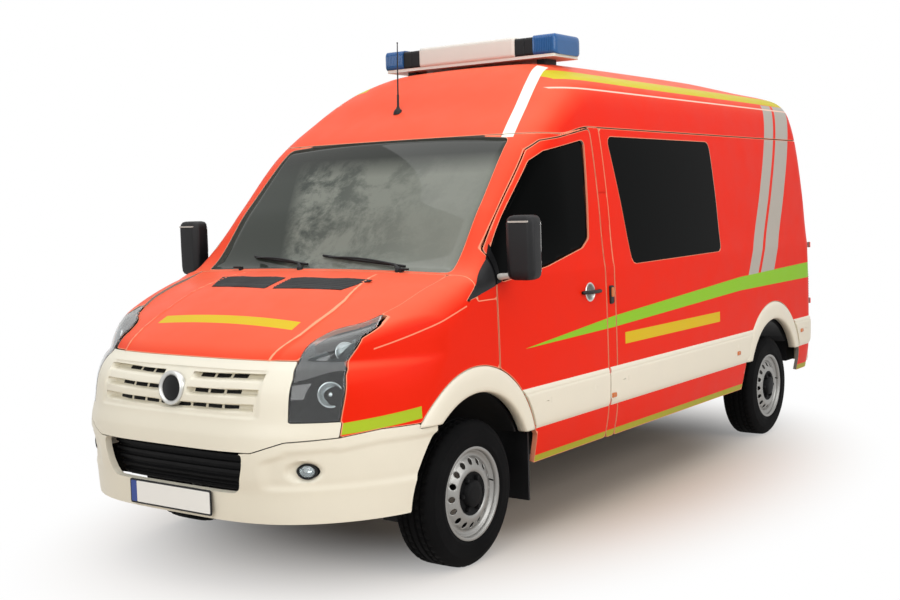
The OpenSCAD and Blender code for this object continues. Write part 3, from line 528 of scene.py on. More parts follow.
def livery():
    """Red-orange body paint, mixed up to half way towards pale salmon on faces that look upwards as a painted
    reflection of the sky, with the reflective tape of the livery laid over it by place: a lime wedge and sill line
    along the flank, plain yellow bars, a pair of silver bands at the rear, a yellow line along the roof's edge and a
    white diagonal on the front of the roof. Pale lines along the pressed edges of roof, bonnet and wing are painted
    highlights. The film stops short of each panel's edge, so a thin pale line shows there. Faces that look towards the
    van's middle carry grey lining."""
    mat = finish_of("red_body_paint", "#e62408", "red_paint", rough=0.42, shine=0.08, grain=0.012, grain_mm=9.0,
                    vary=0.03)
    tree, shader, red = opened(mat)
    normal = add(tree, "TexCoord").outputs["Normal"]
    upward = add(tree, "SeparateXYZ", [("Vector", normal)]).outputs[2]
    # Painted reflection of the sky: faces that look upwards are mixed up to half way towards pale salmon
    out = blend(tree, ramp(tree, upward, 0.25, 0.95, 0.0, 0.5), red, "#f7825c")
    place = add(tree, "TexCoord").outputs["Object"]
    across, y, z = add(tree, "SeparateXYZ", [("Vector", place)]).outputs
    x = calc(tree, "ABSOLUTE", across)

    def height(*points):
        """Line through points (s, z) of the side view."""
        return line(tree, y, [(FA + s, h) for s, h in points])

    def lengthwise(s0, s1):
        """Mask between two distances behind the front axle."""
        return band(tree, y, FA + s0, FA + s1)

    flank_mask = calc(tree, "MAXIMUM", above(tree, x, 0.55), above(tree, y, SKIN - 0.35))
    wedge = times(tree, band(tree, z, height((0.427, 0.976), (1.322, 0.994), (3.082, 1.062), (4.60, 1.068)),
                             height((0.427, 0.977), (1.322, 1.054), (3.082, 1.151), (4.60, 1.184))),
                  above(tree, y, FA + 0.427), flank_mask)
    wing = times(tree, band(tree, z, height((-0.96, 0.710), (-0.735, 0.734), (-0.40, 0.766)),
                            height((-0.96, 0.757), (-0.735, 0.781), (-0.40, 0.818))), lengthwise(-0.96, -0.40),
                 flank_mask)
    sill = times(tree, band(tree, z, 0.388, 0.430), above(tree, y, FA + 0.45), flank_mask)
    edge = times(tree, band(tree, z, height((1.20, 2.348), (2.17, 2.338), (3.81, 2.332), (4.6, 2.322)),
                            height((1.20, 2.412), (2.17, 2.400), (3.81, 2.392), (4.6, 2.382))),
                 above(tree, y, FA + 1.20), above(tree, x, 0.60))
    # Two silver bands that lean forward by 0.565 of their height
    lean = 0.565
    slant = calc(tree, "MULTIPLY_ADD", z, -lean, y)
    at = FA + 3.906 - lean * 2.35
    pair = calc(tree, "ADD", band(tree, slant, at, at + 0.17), band(tree, slant, at + 0.215, at + 0.455))
    silver = times(tree, pair, above(tree, z, height((3.0, 1.105), (4.6, 1.125))), calc(tree, "LESS_THAN", z, 2.326),
                   flank_mask)
    # Painted highlights: pale lines along the pressed edges of roof, bonnet and wing
    swage_highlight = times(tree, band(tree, z, 2.289, 2.298), lengthwise(1.10, 4.44))
    fold_highlight = times(tree, band(tree, calc(tree, "SUBTRACT", x, height(*FOLD)), -0.0045, 0.0045), lengthwise(-0.84, -0.03),
                 above(tree, z, 1.02))
    rising = height((-0.62, 1.060), (-0.577, 1.072), (-0.335, 1.146), (-0.052, 1.226), (0.16, 1.290))
    crease_highlight = times(tree, band(tree, calc(tree, "SUBTRACT", z, rising), -0.003, 0.003), lengthwise(-0.60, -0.055),
                   above(tree, x, 0.84))
    corner_mask = times(tree, band(tree, z, height((0.10, 1.283), (0.245, 1.317)),
                                   height((0.178, 1.428), (0.245, 1.505))),
                        lengthwise(0.178, 0.238), flank_mask)
    bare = band(tree, add(tree, "Attribute", attribute_name="rim").outputs["Fac"], 0.001, 0.0045)
    front_bar = times(tree, lengthwise(-0.632, -0.572), above(tree, z, 1.02), calc(tree, "LESS_THAN", x, 0.44))
    side_bar = times(tree, band(tree, z, 0.888, 0.952), lengthwise(1.452, 2.74), above(tree, x, 0.55))
    slope = 0.28
    diagonal = calc(tree, "MULTIPLY_ADD", y, slope, across)
    mid = 0.728 + slope * (FA + 0.725)
    white = times(tree, band(tree, diagonal, mid - 0.036, mid + 0.036), lengthwise(0.40, 1.36), above(tree, z, 2.02))
    for mask, code in ((calc(tree, "MAXIMUM", front_bar, side_bar), "#d8b822"), (silver, "#b3aea6"), (wedge, "#8cc42c"),
                       (wing, "#a6bd2c"), (sill, "#a8a432"), (edge, "#c9bb25"), (swage_highlight, "#f2cdbb"), (fold_highlight, "#f0a07c"),
                       (crease_highlight, "#ee8f70"), (bare, "#ef9878"), (corner_mask, "#08080a"), (white, "#fbf3e6")):
        out = blend(tree, mask, out, code)
    away = add(tree, "VectorMath", [(0, place)], operation="MULTIPLY_ADD")
    away.inputs[1].default_value, away.inputs[2].default_value = (1.0, 0.35, 1.0), (0.0, -0.07, -1.0)
    facing = add(tree, "VectorMath", [(0, away.outputs[0]), (1, normal)], operation="DOT_PRODUCT").outputs["Value"]
    tree.links.new(blend(tree, above(tree, facing, 0.0), "#8b8781", out), shader.inputs["Base Color"])
    return mat


def lamp_shell():
    """Lamp housing, black at its foot and grey towards its top: two colours mixed by height between 1.00 and 1.16 m."""
    mat = finish_of("lamp_housing_plastic", "#060607", "black_plastic", rough=0.4, shine=0.06, vary=0.15)
    tree, shader, low = opened(mat)
    z = add(tree, "SeparateXYZ", [("Vector", add(tree, "TexCoord").outputs["Object"])]).outputs[2]
    tree.links.new(blend(tree, ramp(tree, z, 1.00, 1.16), low, "#737c80"), shader.inputs["Base Color"])
    return mat


def screen_glass():
    """Laminated glass over a cab in shade, with light and shade painted into its colour: grey-green, mottled darker
    over about 200 mm towards its right end by a painted reflection of trees, with a dark wedge of painted shadow at
    that end, and dark along its top."""
    mat = finish_of("laminated_windscreen", "#4c514b", "windscreen_glass", rough=0.03, ior=1.52, trans=0.12, shine=0.12,
                    vary=0.08)
    tree, shader, _ = opened(mat)
    place = add(tree, "TexCoord").outputs["Object"]
    x, y, z = add(tree, "SeparateXYZ", [("Vector", place)]).outputs
    # Painted reflection of trees: a leafy noise, stronger towards the right end, mixes two grey-greens
    leaf = add(tree, "TexNoise", [("Vector", place)], Scale=4.5, Detail=9.0, Roughness=0.72,
               Distortion=0.25).outputs["Fac"]
    reflection_patches = times(tree, ramp(tree, leaf, 0.44, 0.58), ramp(tree, x, 0.55, -0.35, 0.12))
    tree_reflection = blend(tree, reflection_patches, "#7f837a", "#414742")
    # Painted shadow: a dark wedge at the right end, outside the lit part
    lit = above(tree, calc(tree, "MULTIPLY_ADD", z, 0.48, x), 0.39, 0.12)
    out = blend(tree, ramp(tree, z, 1.84, 1.95), blend(tree, lit, "#3d423d", tree_reflection), "#2f322e")
    tree.links.new(out, shader.inputs["Base Color"])
    return mat


PAINT, SHELL, SCREEN = livery(), lamp_shell(), screen_glass()
# Cream bumper and trim plastic, moulded with a fine grain: soft, broad highlights
CREAM = finish_of("cream_moulded_plastic", "#e4dfce", "white_trim", rough=0.42, grain=0.05, grain_mm=1.2, vary=0.025,
                  rub=0.04)
# Black grained plastic of mirrors and frames: dull, with a faint sheen
BLACK = finish_of("black_grained_plastic", "#0e0e10", "black_plastic", rough=0.5, shine=0.3, grain=0.25, grain_mm=1.5,
                  vary=0.15)
# Rubber of seals and openings: deep black
RUBBER = finish_of("seal_rubber", "#070708", "black_plastic", rough=0.7, shine=0.2, grain=0.15, grain_mm=2.0, vary=0.15)
# Tyre rubber: matt and dusty
TYRE = finish_of("tyre_rubber", "#0a0a0b", "tyre_rubber", rough=0.8, shine=0.08, grain=0.2, grain_mm=2.5, vary=0.25)
# Sprayed steel of the wheels: silver with a blurred shine
WHEEL = finish_of("silver_wheel_lacquer", "#93928f", "wheel_steel", rough=0.38, metal=0.75, grain=0.04, grain_mm=1.5,
                  vary=0.10)
# Coating under the van: uneven matt black
CHASSIS = finish_of("black_chassis_paint", "#101012", rough=0.6, shine=0.3, grain=0.2, grain_mm=6.0, vary=0.3)
# Iron of the engine as it was cast: rough and dark
IRON = finish_of("cast_iron", "#3d3d40", rough=0.65, metal=0.6, grain=0.4, grain_mm=3.0, vary=0.2)
# Bare steel of the exhaust and the head rests' rods: grey, with streaky light
STEEL = finish_of("exhaust_steel", "#8a8680", "exhaust_steel", rough=0.4, metal=1.0, grain=0.1, grain_mm=2.0, vary=0.2)
# Lamp dishes seen through a dusty lens: bright metal gone dull
DIM = finish_of("dull_lamp_reflector", "#d2d5d6", "lamp_clear", rough=0.16, metal=1.0, vary=0.12)
# Silvered mirror glass: a clear reflection
CHROME = finish_of("bright_reflector", "#e6e6e4", "dark_glass", rough=0.07, metal=1.0, vary=0.03)
# Tinted flank glass: near black
DARK_GLASS = finish_of("dark_tinted_glass", "#030404", "dark_glass", rough=0.02, ior=1.52, shine=0.015, vary=0.05)
# Clear lamp covers: seen through, with a thin sheen
CLEAR = finish_of("clear_lamp_polycarbonate", "#e8ecec", "lamp_clear", rough=0.02, ior=1.5, trans=1.0, shine=0.02,
                  vary=0.02)
# Smooth black plastic of the grille's disc: small soft highlights
SMOKE = finish_of("dark_lamp_housing", "#0c0d0e", "black_plastic", rough=0.35, shine=0.2, vary=0.15)
# Lamp lenses at the rear and the sides: deep, glossy colour
RED_LENS = finish_of("red_lens", "#7d0f10", "lamp_red", rough=0.12, ior=1.49, vary=0.06)
AMBER = finish_of("amber_lens", "#c4671a", "lamp_red", rough=0.15, ior=1.49, vary=0.06)
FROSTED = finish_of("white_lens", "#d9d9d6", "lamp_red", rough=0.2, ior=1.49, vary=0.05)
# Blue domes of the light bar: strong colour under a gloss
BLUE = finish_of("blue_dome_polycarbonate", "#1f5690", "bar_blue", rough=0.15, ior=1.58, shine=0.3, vary=0.12)
# Pale housing of the light bar: smooth and satin
BAR = finish_of("pale_bar_housing", "#dcd8d0", "bar_white", rough=0.38, grain=0.03, grain_mm=1.5, vary=0.03)
# Cab mouldings: dark grey and grained
DASH = finish_of("dash_plastic", "#2a2b2d", "dash_plastic", rough=0.65, grain=0.3, grain_mm=1.8, vary=0.1)
# Seat cloth: matt, with a woven grain
CLOTH = finish_of("woven_seat_cloth", "#2b2e34", rough=0.9, grain=0.5, grain_mm=2.2, vary=0.2)
# Bare number plate: even white with a blue strip
PLATE = finish_of("plate_white", "#eeeeea", "white_trim", rough=0.35, grain=0.03, grain_mm=2.0, vary=0.02)
PLATE_BLUE = finish_of("plate_blue", "#1f3f8f", "bar_blue", rough=0.35, vary=0.05)
# Satin metal of the grille's ring and the door handles' cups
SILVER = finish_of("satin_silver", "#c8c8c4", "white_trim", rough=0.3, metal=0.8, vary=0.05)
# Pale grey paint of the mirror arms
SATIN = finish_of("pale_grey_paint", "#b9b6b0", "black_plastic", rough=0.4, vary=0.05)
# Black wheel hub: dull and dusty
HUB = finish_of("black_hub_paint", "#0b0b0c", "black_plastic", rough=0.6, shine=0.12, grain=0.15, grain_mm=3.0,
                vary=0.3)

LOOKS = {
    "red_paint": PAINT, "white_trim": CREAM, "black_plastic": BLACK, "chassis_steel": CHASSIS, "engine_iron": IRON,
    "exhaust_steel": STEEL, "tank_plastic": BLACK, "lamp_clear": CLEAR, "lamp_red": RED_LENS,
    "windscreen_glass": SCREEN, "dark_glass": DARK_GLASS, "bar_white": BAR, "bar_blue": BLUE, "dash_plastic": DASH,
    "seat_cloth": CLOTH, "tyre_rubber": TYRE, "wheel_steel": WHEEL,
}
for name, obj in NODES.items():
    slot_names = [m.name.split(".")[0] for m in obj.data.materials if m]
    look = next((LOOKS[k] for k in LOOKS for m in slot_names if k in m), CHASSIS)
    obj.data.materials.clear()
    obj.data.materials.append(look)

# Outlines in the side view, as (s, z)
DOOR = outline([(0.193, SILL), (0.193, 1.470), (0.655, 1.950), (0.760, 1.998), (0.932, 2.020), (1.252, 2.074),
                (1.252, SILL)],
               0.03)
DOOR_WINDOW = outline([(0.228, 1.312), (0.680, 1.366), (1.040, 1.440), (1.112, 1.486), (1.172, 1.990), (1.150, 2.008),
                       (0.760, 1.944), (0.640, 1.894), (0.228, 1.472)], 0.035)
SIDE_WINDOW = outline([(1.578, 1.325), (1.426, 2.034), (2.782, 2.034), (2.805, 1.337)], 0.05)
SLIDE = outline([(1.360, 0.300), (1.360, 2.150), (2.870, 2.150), (2.870, 0.300)], 0.03)
LAMP = outline([(-1.10, 0.790), (-0.734, 0.790), (-0.714, 0.867), (-0.684, 0.980), (-0.640, 1.050), (-0.582, 1.130),
                (-0.474, 1.188), (-0.425, 1.212), (-0.425, 1.300), (-1.10, 1.300)])
QUARTER = outline([(-0.056, 1.244), (0.181, 1.300), (0.181, 1.430)], 0.004)
CAB = outline([(0.030, 1.240), (0.030, 2.036), (0.932, 2.036), (1.252, GUTTER_Z), (POST, GUTTER_Z), (POST, SILL),
               (1.222, SILL), (1.222, 0.700), (0.193, 1.240)])
WING = outline([(-1.10, 0.700), (-1.10, 1.50), (0.030, 1.50), (0.030, 1.240), (0.1885, 1.240), (0.1885, 0.700)])
TAIL_LAMP = outline([(END - 0.150, 0.912), (END - 0.150, 1.060), (END - 0.110, 1.232), (END + 0.30, 1.232),
                     (END + 0.30, 0.912)])
GUTTER = curve((-2, 2.036), (0.932, 2.036), (1.252, GUTTER_Z), (9, GUTTER_Z))
# Windscreen in plan, as (x, s)
SCREEN_PLAN = outline([(-0.812, 0.055), (0.812, 0.055), (0.792, 0.36), (0.752, 0.688), (-0.752, 0.688), (-0.792, 0.36)],
                      0.035)
# Where the side's skin ends and the rear doors' begins, inside the flank
DOOR_EDGE = 0.074


def parts_of(p):
    """Half breadth, distance behind the front axle, and height of points."""
    return np.abs(p[..., 0]), p[..., 1] - FA, p[..., 2]


def flare(s, z, at=0.0, grow=0.0):
    """Signed distance outside the wheel arch's outline, a circle over an upright-sided opening."""
    return np.where(z > 0.43, np.hypot(s - at, z - 0.43), np.abs(s - at)) - 0.512 - grow


def door_keep(p):
    """Front door: inside its outline and outside its window, the wheel arch, the arch's foot and the handle's hole."""
    x, s, z = parts_of(p)
    foot = np.maximum(s - 0.512, z - 0.552) - 0.003
    hole = np.hypot(s - 1.074, z - 1.204) - 0.043
    return least(DOOR(s, z) - HALF_GAP, -DOOR_WINDOW(s, z), flare(s, z, 0, 0.004), foot, hole)


def side_keep(p, slide=False):
    """Side panel: behind the cab's post, between sill and gutter, and outside the wheel arch, the rear door, the tail
    lamp and the sliding door or the window."""
    x, s, z = parts_of(p)
    lamp_depth = np.where(s > END - 0.4, TAIL_LAMP(s, z), -1.0)
    opening = SLIDE(s, z) + HALF_GAP if slide else SIDE_WINDOW(s, z)
    return least(s - 1.3525 - HALF_GAP, z - SILL, GUTTER_Z - HALF_GAP - z, flare(s, z, AXLE, 0.002),
                 x - SIDE(z) + DOOR_EDGE - HALF_GAP, -lamp_depth, -opening)


def slide_keep(p):
    """Sliding door: inside its outline, between sill and gutter, outside its window."""
    x, s, z = parts_of(p)
    return least(SLIDE(s, z) - HALF_GAP, z - SILL, GUTTER_Z - HALF_GAP - z, -SIDE_WINDOW(s, z))


# Body panels
STEP = 0.021
flank_p = np.concatenate([along(1.34, 4.05, STEP), span(P_SIDE + FA + 4.07, P_REAR + TURN, 0.020)])
high = span(0.37, 2.10, STEP)
piece("left_side_skin", panel(wall, flank_p, high, side_keep), PAINT, replaces=("left_side_panel",), thick=0.024,
      bevel=0.003)
piece("right_side_skin", mirrored(panel(wall, flank_p, high, lambda p: side_keep(p, True))), PAINT,
      replaces=("right_side_panel",), thick=0.024, bevel=0.003)
piece("sliding_door_skin", mirrored(panel(wall, along(1.34, 2.9, STEP), high, slide_keep)), PAINT,
      replaces=("sliding_door",), thick=0.024, bevel=0.003)


def roof_keep(p):
    """Roof: above the gutter and ahead of the tail's edge."""
    x, s, z = parts_of(p)
    return np.minimum(z - GUTTER(s) - HALF_GAP, SKIN - 0.03 - p[..., 1])


def roof_level(q, y):
    """Rise of the roof's middle over its edges: 42 mm from the forehead back, none at the flanks or the tail."""
    return -0.042 * smooth((0.86 - np.abs(q)) / 0.50) * smooth((y - FA - 0.85) / 0.55) * smooth((SKIN - 0.1 - y) / 1.2)


roof_q = np.concatenate([-span(0.5, 1.42, 0.022)[::-1], span(-0.48, 0.48, 0.04), span(0.5, 1.42, 0.022)])
roof_y = np.concatenate([span(FA + 0.60, FA + 1.7, 0.026), span(FA + 1.73, SKIN - 0.30, 0.045),
                         span(SKIN - 0.28, SKIN - 0.035, 0.013)])
piece("roof_skin", panel(arch, roof_q, roof_y, roof_keep, roof_level), PAINT, replaces=("roof",), thick=0.03,
      bevel=0.003)


def cab_keep(p):
    """Cab frame: inside its outline, outside the door and the windscreen."""
    x, s, z = parts_of(p)
    return least(CAB(s, z), -DOOR(s, z) - HALF_GAP, -SCREEN_PLAN(x, s))


def post_keep(p):
    """Post behind the front door, from the sill to the gutter."""
    x, s, z = parts_of(p)
    return least(s - 1.252 - HALF_GAP, POST - HALF_GAP - s, z - SILL, 2.078 - z)


def screen_depth(p):
    """Distance inside the windscreen's outline."""
    return SCREEN_PLAN(p[..., 0], p[..., 1] - FA)


cab_side = panel(arch, span(0.5, 1.95, 0.010), span(FA + 0.025, FA + 1.36, 0.010), cab_keep)
cab_post = panel(wall, along(1.2, 1.36, 0.012), span(0.38, 2.09, 0.03), post_keep)
cab_front = panel(arch, span(-0.86, 0.86, 0.03), span(FA + 0.025, FA + 0.08, 0.010),
                  lambda p: np.minimum(parts_of(p)[1] - 0.030, -screen_depth(p)))
piece("cab_pillars", joined(cab_side, mirrored(cab_side), cab_post, mirrored(cab_post), cab_front), PAINT,
      replaces=("cab_frame",), thick=0.03, bevel=0.002, weld=0.002)
piece("windscreen_pane", panel(arch, span(-0.86, 0.86, 0.03), span(FA + 0.03, FA + 0.70, 0.022),
                               lambda p: screen_depth(p) - 0.002, 0.003), SCREEN, replaces=("windscreen",), thick=0.006)


def bonnet_keep(p):
    """Bonnet: within its half breadth, ahead of the screen's foot and above the grille."""
    x, s, z = parts_of(p)
    return least(BONNET(s) - HALF_GAP - x, 0.026 - s, z - 1.040)


def ridge(q, y):
    """Depth of the bonnet outside its two crease lines, which run from the screen's foot to the grille."""
    s = y - FA
    far = np.abs(q) - np.interp(s, *np.array(FOLD).T)
    bead = np.exp(-(far / 0.009) ** 2)
    return (0.009 * smooth(far / 0.03) - 0.004 * bead) * np.clip((0.02 - s) / 0.12, 0, 1)


bonnet_y = np.concatenate([span(FA - 0.905, FA - 0.80, 0.007), span(FA - 0.788, FA + 0.035, 0.0125)])
piece("bonnet_skin", panel(arch, span(-0.95, 0.95, 0.012), bonnet_y, bonnet_keep, ridge), PAINT, body="bonnet",
      replaces=("bonnet",), thick=0.018, bevel=0.003, weld=0.002)


def bumper_edge(x):
    """Height of the bumper's upper seam across the nose."""
    return np.interp(x, [0.484, 0.622, 0.796, 0.900], [0.664, 0.711, 0.722, 0.744])


def wing_keep(p):
    """Front wing: inside its outline and outside lamp, wheel arch, bonnet, corner pane, windscreen, grille and
    bumper."""
    x, s, z = parts_of(p)
    nose = np.maximum(x - 0.799, z - 0.790)
    return least(WING(s, z), -LAMP(s, z) - 0.003, flare(s, z, 0, 0.002), x - BONNET(s) - HALF_GAP, -QUARTER(s, z),
                 np.where(s > 0.0, 0.19 - s, 1.0), -SCREEN_PLAN(x, s) - 0.03, nose, z - bumper_edge(x) - 0.002,
                 np.maximum(x - 0.596, s + 0.70))


wing_q = np.concatenate([span(0.5, 1.1, 0.010), span(1.112, 1.75, 0.014)])
wing_y = np.concatenate([span(FA - 0.86, FA - 0.40, 0.009), span(FA - 0.388, FA + 0.20, 0.013)])
piece("front_wing_skins", both(panel(arch, wing_q, wing_y, wing_keep)), PAINT, replaces=("front_wings",), thick=0.014,
      bevel=0.002, weld=0.003)

for side, turned in SIDES:
    body = side + "_door"
    piece(side + "_door_skin", turned(panel(wall, along(0.17, 1.27, 0.011), span(0.37, 2.10, 0.012), door_keep)), PAINT,
          body=body, replaces=(side + "_door",), thick=0.026, bevel=0.003, weld=0.002)
    pane = panel(wall, along(0.19, 1.2, 0.03), span(1.27, 2.03, 0.03),
                 lambda p: DOOR_WINDOW(p[..., 1] - FA, p[..., 2]) + 0.010, 0.010)
    piece(side + "_door_pane", turned(pane), DARK_GLASS, body=body, replaces=(side + "_door_glass",), thick=0.005)

pane = panel(wall, along(1.40, 2.83, 0.03), span(1.31, 2.06, 0.03),
             lambda p: SIDE_WINDOW(p[..., 1] - FA, p[..., 2]) + 0.012, 0.003)
piece("side_panes", both(pane), DARK_GLASS, replaces=("side_glass",), thick=0.006, bevel=0.001)
quarter = panel(wall, along(-0.07, 0.19, 0.010), span(1.23, 1.44, 0.010), lambda p: QUARTER(p[..., 1] - FA, p[..., 2]),
                -0.001)
piece("quarter_panes", both(quarter), BLACK, replaces=("quarter_trims",), thick=0.012, bevel=0.002)

# The nose: bumper, air intake, grille and lamps, as (x, z)
INTAKE = outline([(-0.446, 0.660), (-0.30, 0.6605), (0.30, 0.6605), (0.446, 0.660), (0.438, 0.600), (0.405, 0.482),
                  (-0.405, 0.482), (-0.438, 0.600)], 0.05)
FOG = (0.682, 0.583)
FOG_SQUEEZE = 0.72


def fog_distance(x, z):
    """Distance from a fog lamp's middle, on an oval."""
    return np.hypot(x - FOG[0], (z - FOG[1]) / FOG_SQUEEZE)


def bumper_keep(p):
    """Bumper: below its seam, above its lip, and outside intake, wheel opening, arch flare and fog lamp."""
    x, s, z = parts_of(p)
    wheel = np.where(z > 0.372, np.hypot(s, z - 0.372), np.abs(s)) - 0.450
    trim = np.maximum(flare(s, z), 0.722 - z) - 0.002
    return least(bumper_edge(x) - z - 0.002, z - 0.356, -INTAKE(p[..., 0], z), wheel, trim, fog_distance(x, z) - 0.043,
                 -0.30 - s)


def bumper_level(p, z):
    """Depth of the bumper's face: a round pocket about each fog lamp, a short groove over it, and a hollow band between
    the upper ledge and the lower lip."""
    x = np.abs(wall(p, z)[..., 0])
    pocket = 0.026 * smooth((0.070 - fog_distance(x, z)) / 0.026)
    groove = 0.007 * np.exp(-((z - 0.665 - 0.03 * (x - 0.70)) / 0.007) ** 2) * smooth((0.10 - np.abs(x - 0.70)) / 0.03)
    hollow = 0.013 * smooth((z - 0.495) / 0.035) * smooth((bumper_edge(x) - 0.045 - z) / 0.022)
    hollow = hollow * smooth((x - 0.50) / 0.07)
    return pocket + groove + hollow


piece("front_bumper_skin", panel(wall, span(-1.34, 1.34, 0.011), span(0.345, 0.765, 0.0095), bumper_keep, bumper_level),
      CREAM, replaces=("front_bumper",), thick=0.030, bevel=0.005)


def intake_level(p, z):
    """Depth of the air intake: five level bars with open slots between them."""
    bar = smooth((np.cos((z - 0.490) * 2 * math.pi / 0.036) + 0.2) / 0.5)
    return 0.078 - 0.014 * bar


piece("lower_intake_bars", panel(wall, span(-0.46, 0.46, 0.03), span(0.475, 0.668, 0.0035),
                                 lambda p: INTAKE(p[..., 0], p[..., 2]) + 0.010, intake_level), RUBBER,
      replaces=("lower_intake_grille",), thick=0.004)

HALF_FACE = [(0.484, 0.667), (0.622, 0.714), (0.796, 0.725), (0.796, 0.787), (0.627, 0.790), (0.619, 0.973),
             (0.594, 1.038)]
FACE = outline(HALF_FACE + [(-x, z) for x, z in HALF_FACE[::-1]])
SLOT_Z = (0.846, 0.908, 0.970)


def slot_depth(x, z):
    """Distance inside the nearest grille slot: three level rows, the upper two stopping short of the middle disc."""
    x = np.abs(x)
    rows = [least(0.0135 - np.abs(z - at - 0.018 * (x - 0.25)), 0.468 + (at - SLOT_Z[0]) / 5 - x,
                  x - (0.097 if k else -1))
            for k, at in enumerate(SLOT_Z)]
    return np.maximum.reduce(rows)


def grille_level(p, z):
    """Depth of the grille's face: the slots, and a shallow frame step outside them."""
    x = wall(p, z)[..., 0]
    step = 0.006 * smooth((0.500 - np.abs(x)) / 0.010) * smooth((1.004 - z) / 0.008) * smooth((z - 0.806) / 0.008)
    return 0.032 * smooth(slot_depth(x, z) / 0.009 + 0.3) + step


piece("grille_face", panel(wall, span(-0.98, 0.98, 0.012), span(0.655, 1.046, 0.0047),
                           lambda p: FACE(p[..., 0], p[..., 2]), grille_level), CREAM, replaces=("grille",),
      thick=0.008, bevel=0.002)


def shade_opening_keep(p):
    """Black strips along the slot floors, standing in for the shade seen through the openings: lengths of 78 mm with
    ribs of 17 mm between them.
    """
    x, s, z = parts_of(p)
    rib = 0.039 - np.abs((x - 0.105) % 0.095 - 0.047)
    return least(slot_depth(p[..., 0], z) - 0.003, rib, 0.40 - x)


# Painted shade: black rubber strips where the grille's slots open onto shade
piece("grille_openings", panel(wall, span(-0.43, 0.43, 0.006), span(0.826, 0.992, 0.003), shade_opening_keep, 0.0355), RUBBER,
      thick=0.002)
DISC_AT, DISC_WAY = (0, FA - 0.944, 0.911), (0, -1, 0.12)
piece("grille_disc_ring", lathe([(0.056, -0.010), (0.077, -0.010), (0.077, 0.010), (0.073, 0.016), (0.066, 0.018),
                                 (0.060, 0.014), (0.056, 0.008)], DISC_AT, DISC_WAY, 72, True), SILVER)
piece("grille_disc", lathe([(0, -0.010), (0.058, -0.010), (0.058, 0.008), (0.045, 0.011), (0.025, 0.015), (0, 0.016)],
                           DISC_AT, DISC_WAY, 64), SMOKE)


def lamp_keep(p):
    """Headlamp: inside its outline and outside grille and bonnet."""
    x, s, z = parts_of(p)
    edge = np.interp(z, [0.790, 0.973, 1.037], [0.627, 0.619, 0.594])
    return least(LAMP(s, z), x - edge - 0.003, x - BONNET(s) - HALF_GAP, -0.30 - s)


def bowl_level(a, e):
    """Depth of the lamp's housing: it falls away from the lens edge to 60 mm."""
    return 0.006 + 0.056 * smooth(lamp_keep(corner(a, e)) / 0.055) ** 0.8


lamp_a, lamp_e = np.radians(span(10, 100, 0.85)), np.radians(span(-18, 52, 0.85))
piece("headlamp_lenses", both(panel(corner, lamp_a, lamp_e, lamp_keep)), CLEAR, replaces=("headlamps",), thick=0.003,
      weld=0.002)
piece("headlamp_housings", both(panel(corner, lamp_a, lamp_e, lamp_keep, bowl_level)), SHELL, thick=0.002, weld=0.002)


def reflector(centre, r, axis):
    """Round dish of radius r with a rolled rim, and a bulb cap on a stalk in its middle."""
    rows = [(0, -0.62), (0.45, -0.52), (0.80, -0.26), (0.94, -0.02), (1.0, 0.04), (1.06, 0.02), (1.06, -0.10),
            (0.84, -0.36), (0.5, -0.62), (0, -0.72)]
    cap = [(0, -0.70), (0.18, -0.66), (0.22, -0.30), (0.20, -0.12), (0.12, -0.02), (0, 0)]
    return joined(lathe(np.array(rows) * r, centre, axis, 56), lathe(np.array(cap) * r, centre, axis, 24))


piece("headlamp_reflectors", both(joined(reflector((0.744, FA - 0.733, 0.900), 0.052, (0.8, -1, 0.12)),
                                         reflector((0.738, FA - 0.622, 1.070), 0.040, (0.8, -1, 0.35)))), DIM)

FOG_AT, FOG_R = np.array((FOG[0], FA - 0.828, FOG[1])), 0.038


def fog_part(rows, n, loop=False):
    """Turned piece of a fog lamp, squeezed to an oval, on both sides."""
    v, faces, rim = lathe(rows, FOG_AT, (0.45, -1, 0), n, loop)
    return both((FOG_AT + (v - FOG_AT) * (0.92, 1, 0.70), faces, rim))


piece("fog_lamp_bezels", fog_part([(0.036, -0.012), (0.048, -0.012), (0.048, 0.004), (0.045, 0.008), (0.040, 0.008),
                                   (0.036, 0.003)],
                                  56, True), BLACK, replaces=("fog_lamps",))
piece("fog_lamp_dishes", fog_part(np.array([(0, -0.9), (0.5, -0.75), (0.85, -0.4), (1.0, 0), (1.02, -0.3), (0.6, -0.9),
                                            (0, -1.0)])
                                  * FOG_R, 48), DIM)
piece("fog_lamp_lenses", fog_part([(0, -0.001), (FOG_R, -0.001), (FOG_R, 0.002), (0.03, 0.006), (0.015, 0.0085),
                                   (0, 0.009)], 48),
      CLEAR)


def number_plate(end, mid, y, z, way, body):
    """Bare plate 520 by 106 mm with a raised black edge and a plain blue strip at one end."""
    rows = (("_plate_edge", -0.262, 0.262, 0.055, 0.000, 0.005, 0.010, BLACK, 0.001),
            ("_plate_face", -0.218, 0.256, 0.048, 0.004, 0.0062, 0.006, PLATE, 0),
            ("_plate_strip", -0.256, -0.219, 0.048, 0.004, 0.0062, 0.006, PLATE_BLUE, 0))
    for part, x0, x1, half, d0, d1, r, look, bevel in rows:
        slab = block((mid + x0, y + way * d0, z - half), (mid + x1, y + way * d1, z + half), r, 1)
        piece(end + part, slab, look, body=body, bevel=bevel)


number_plate("front", 0.0, FA - 0.984, 0.430, -1, "body")

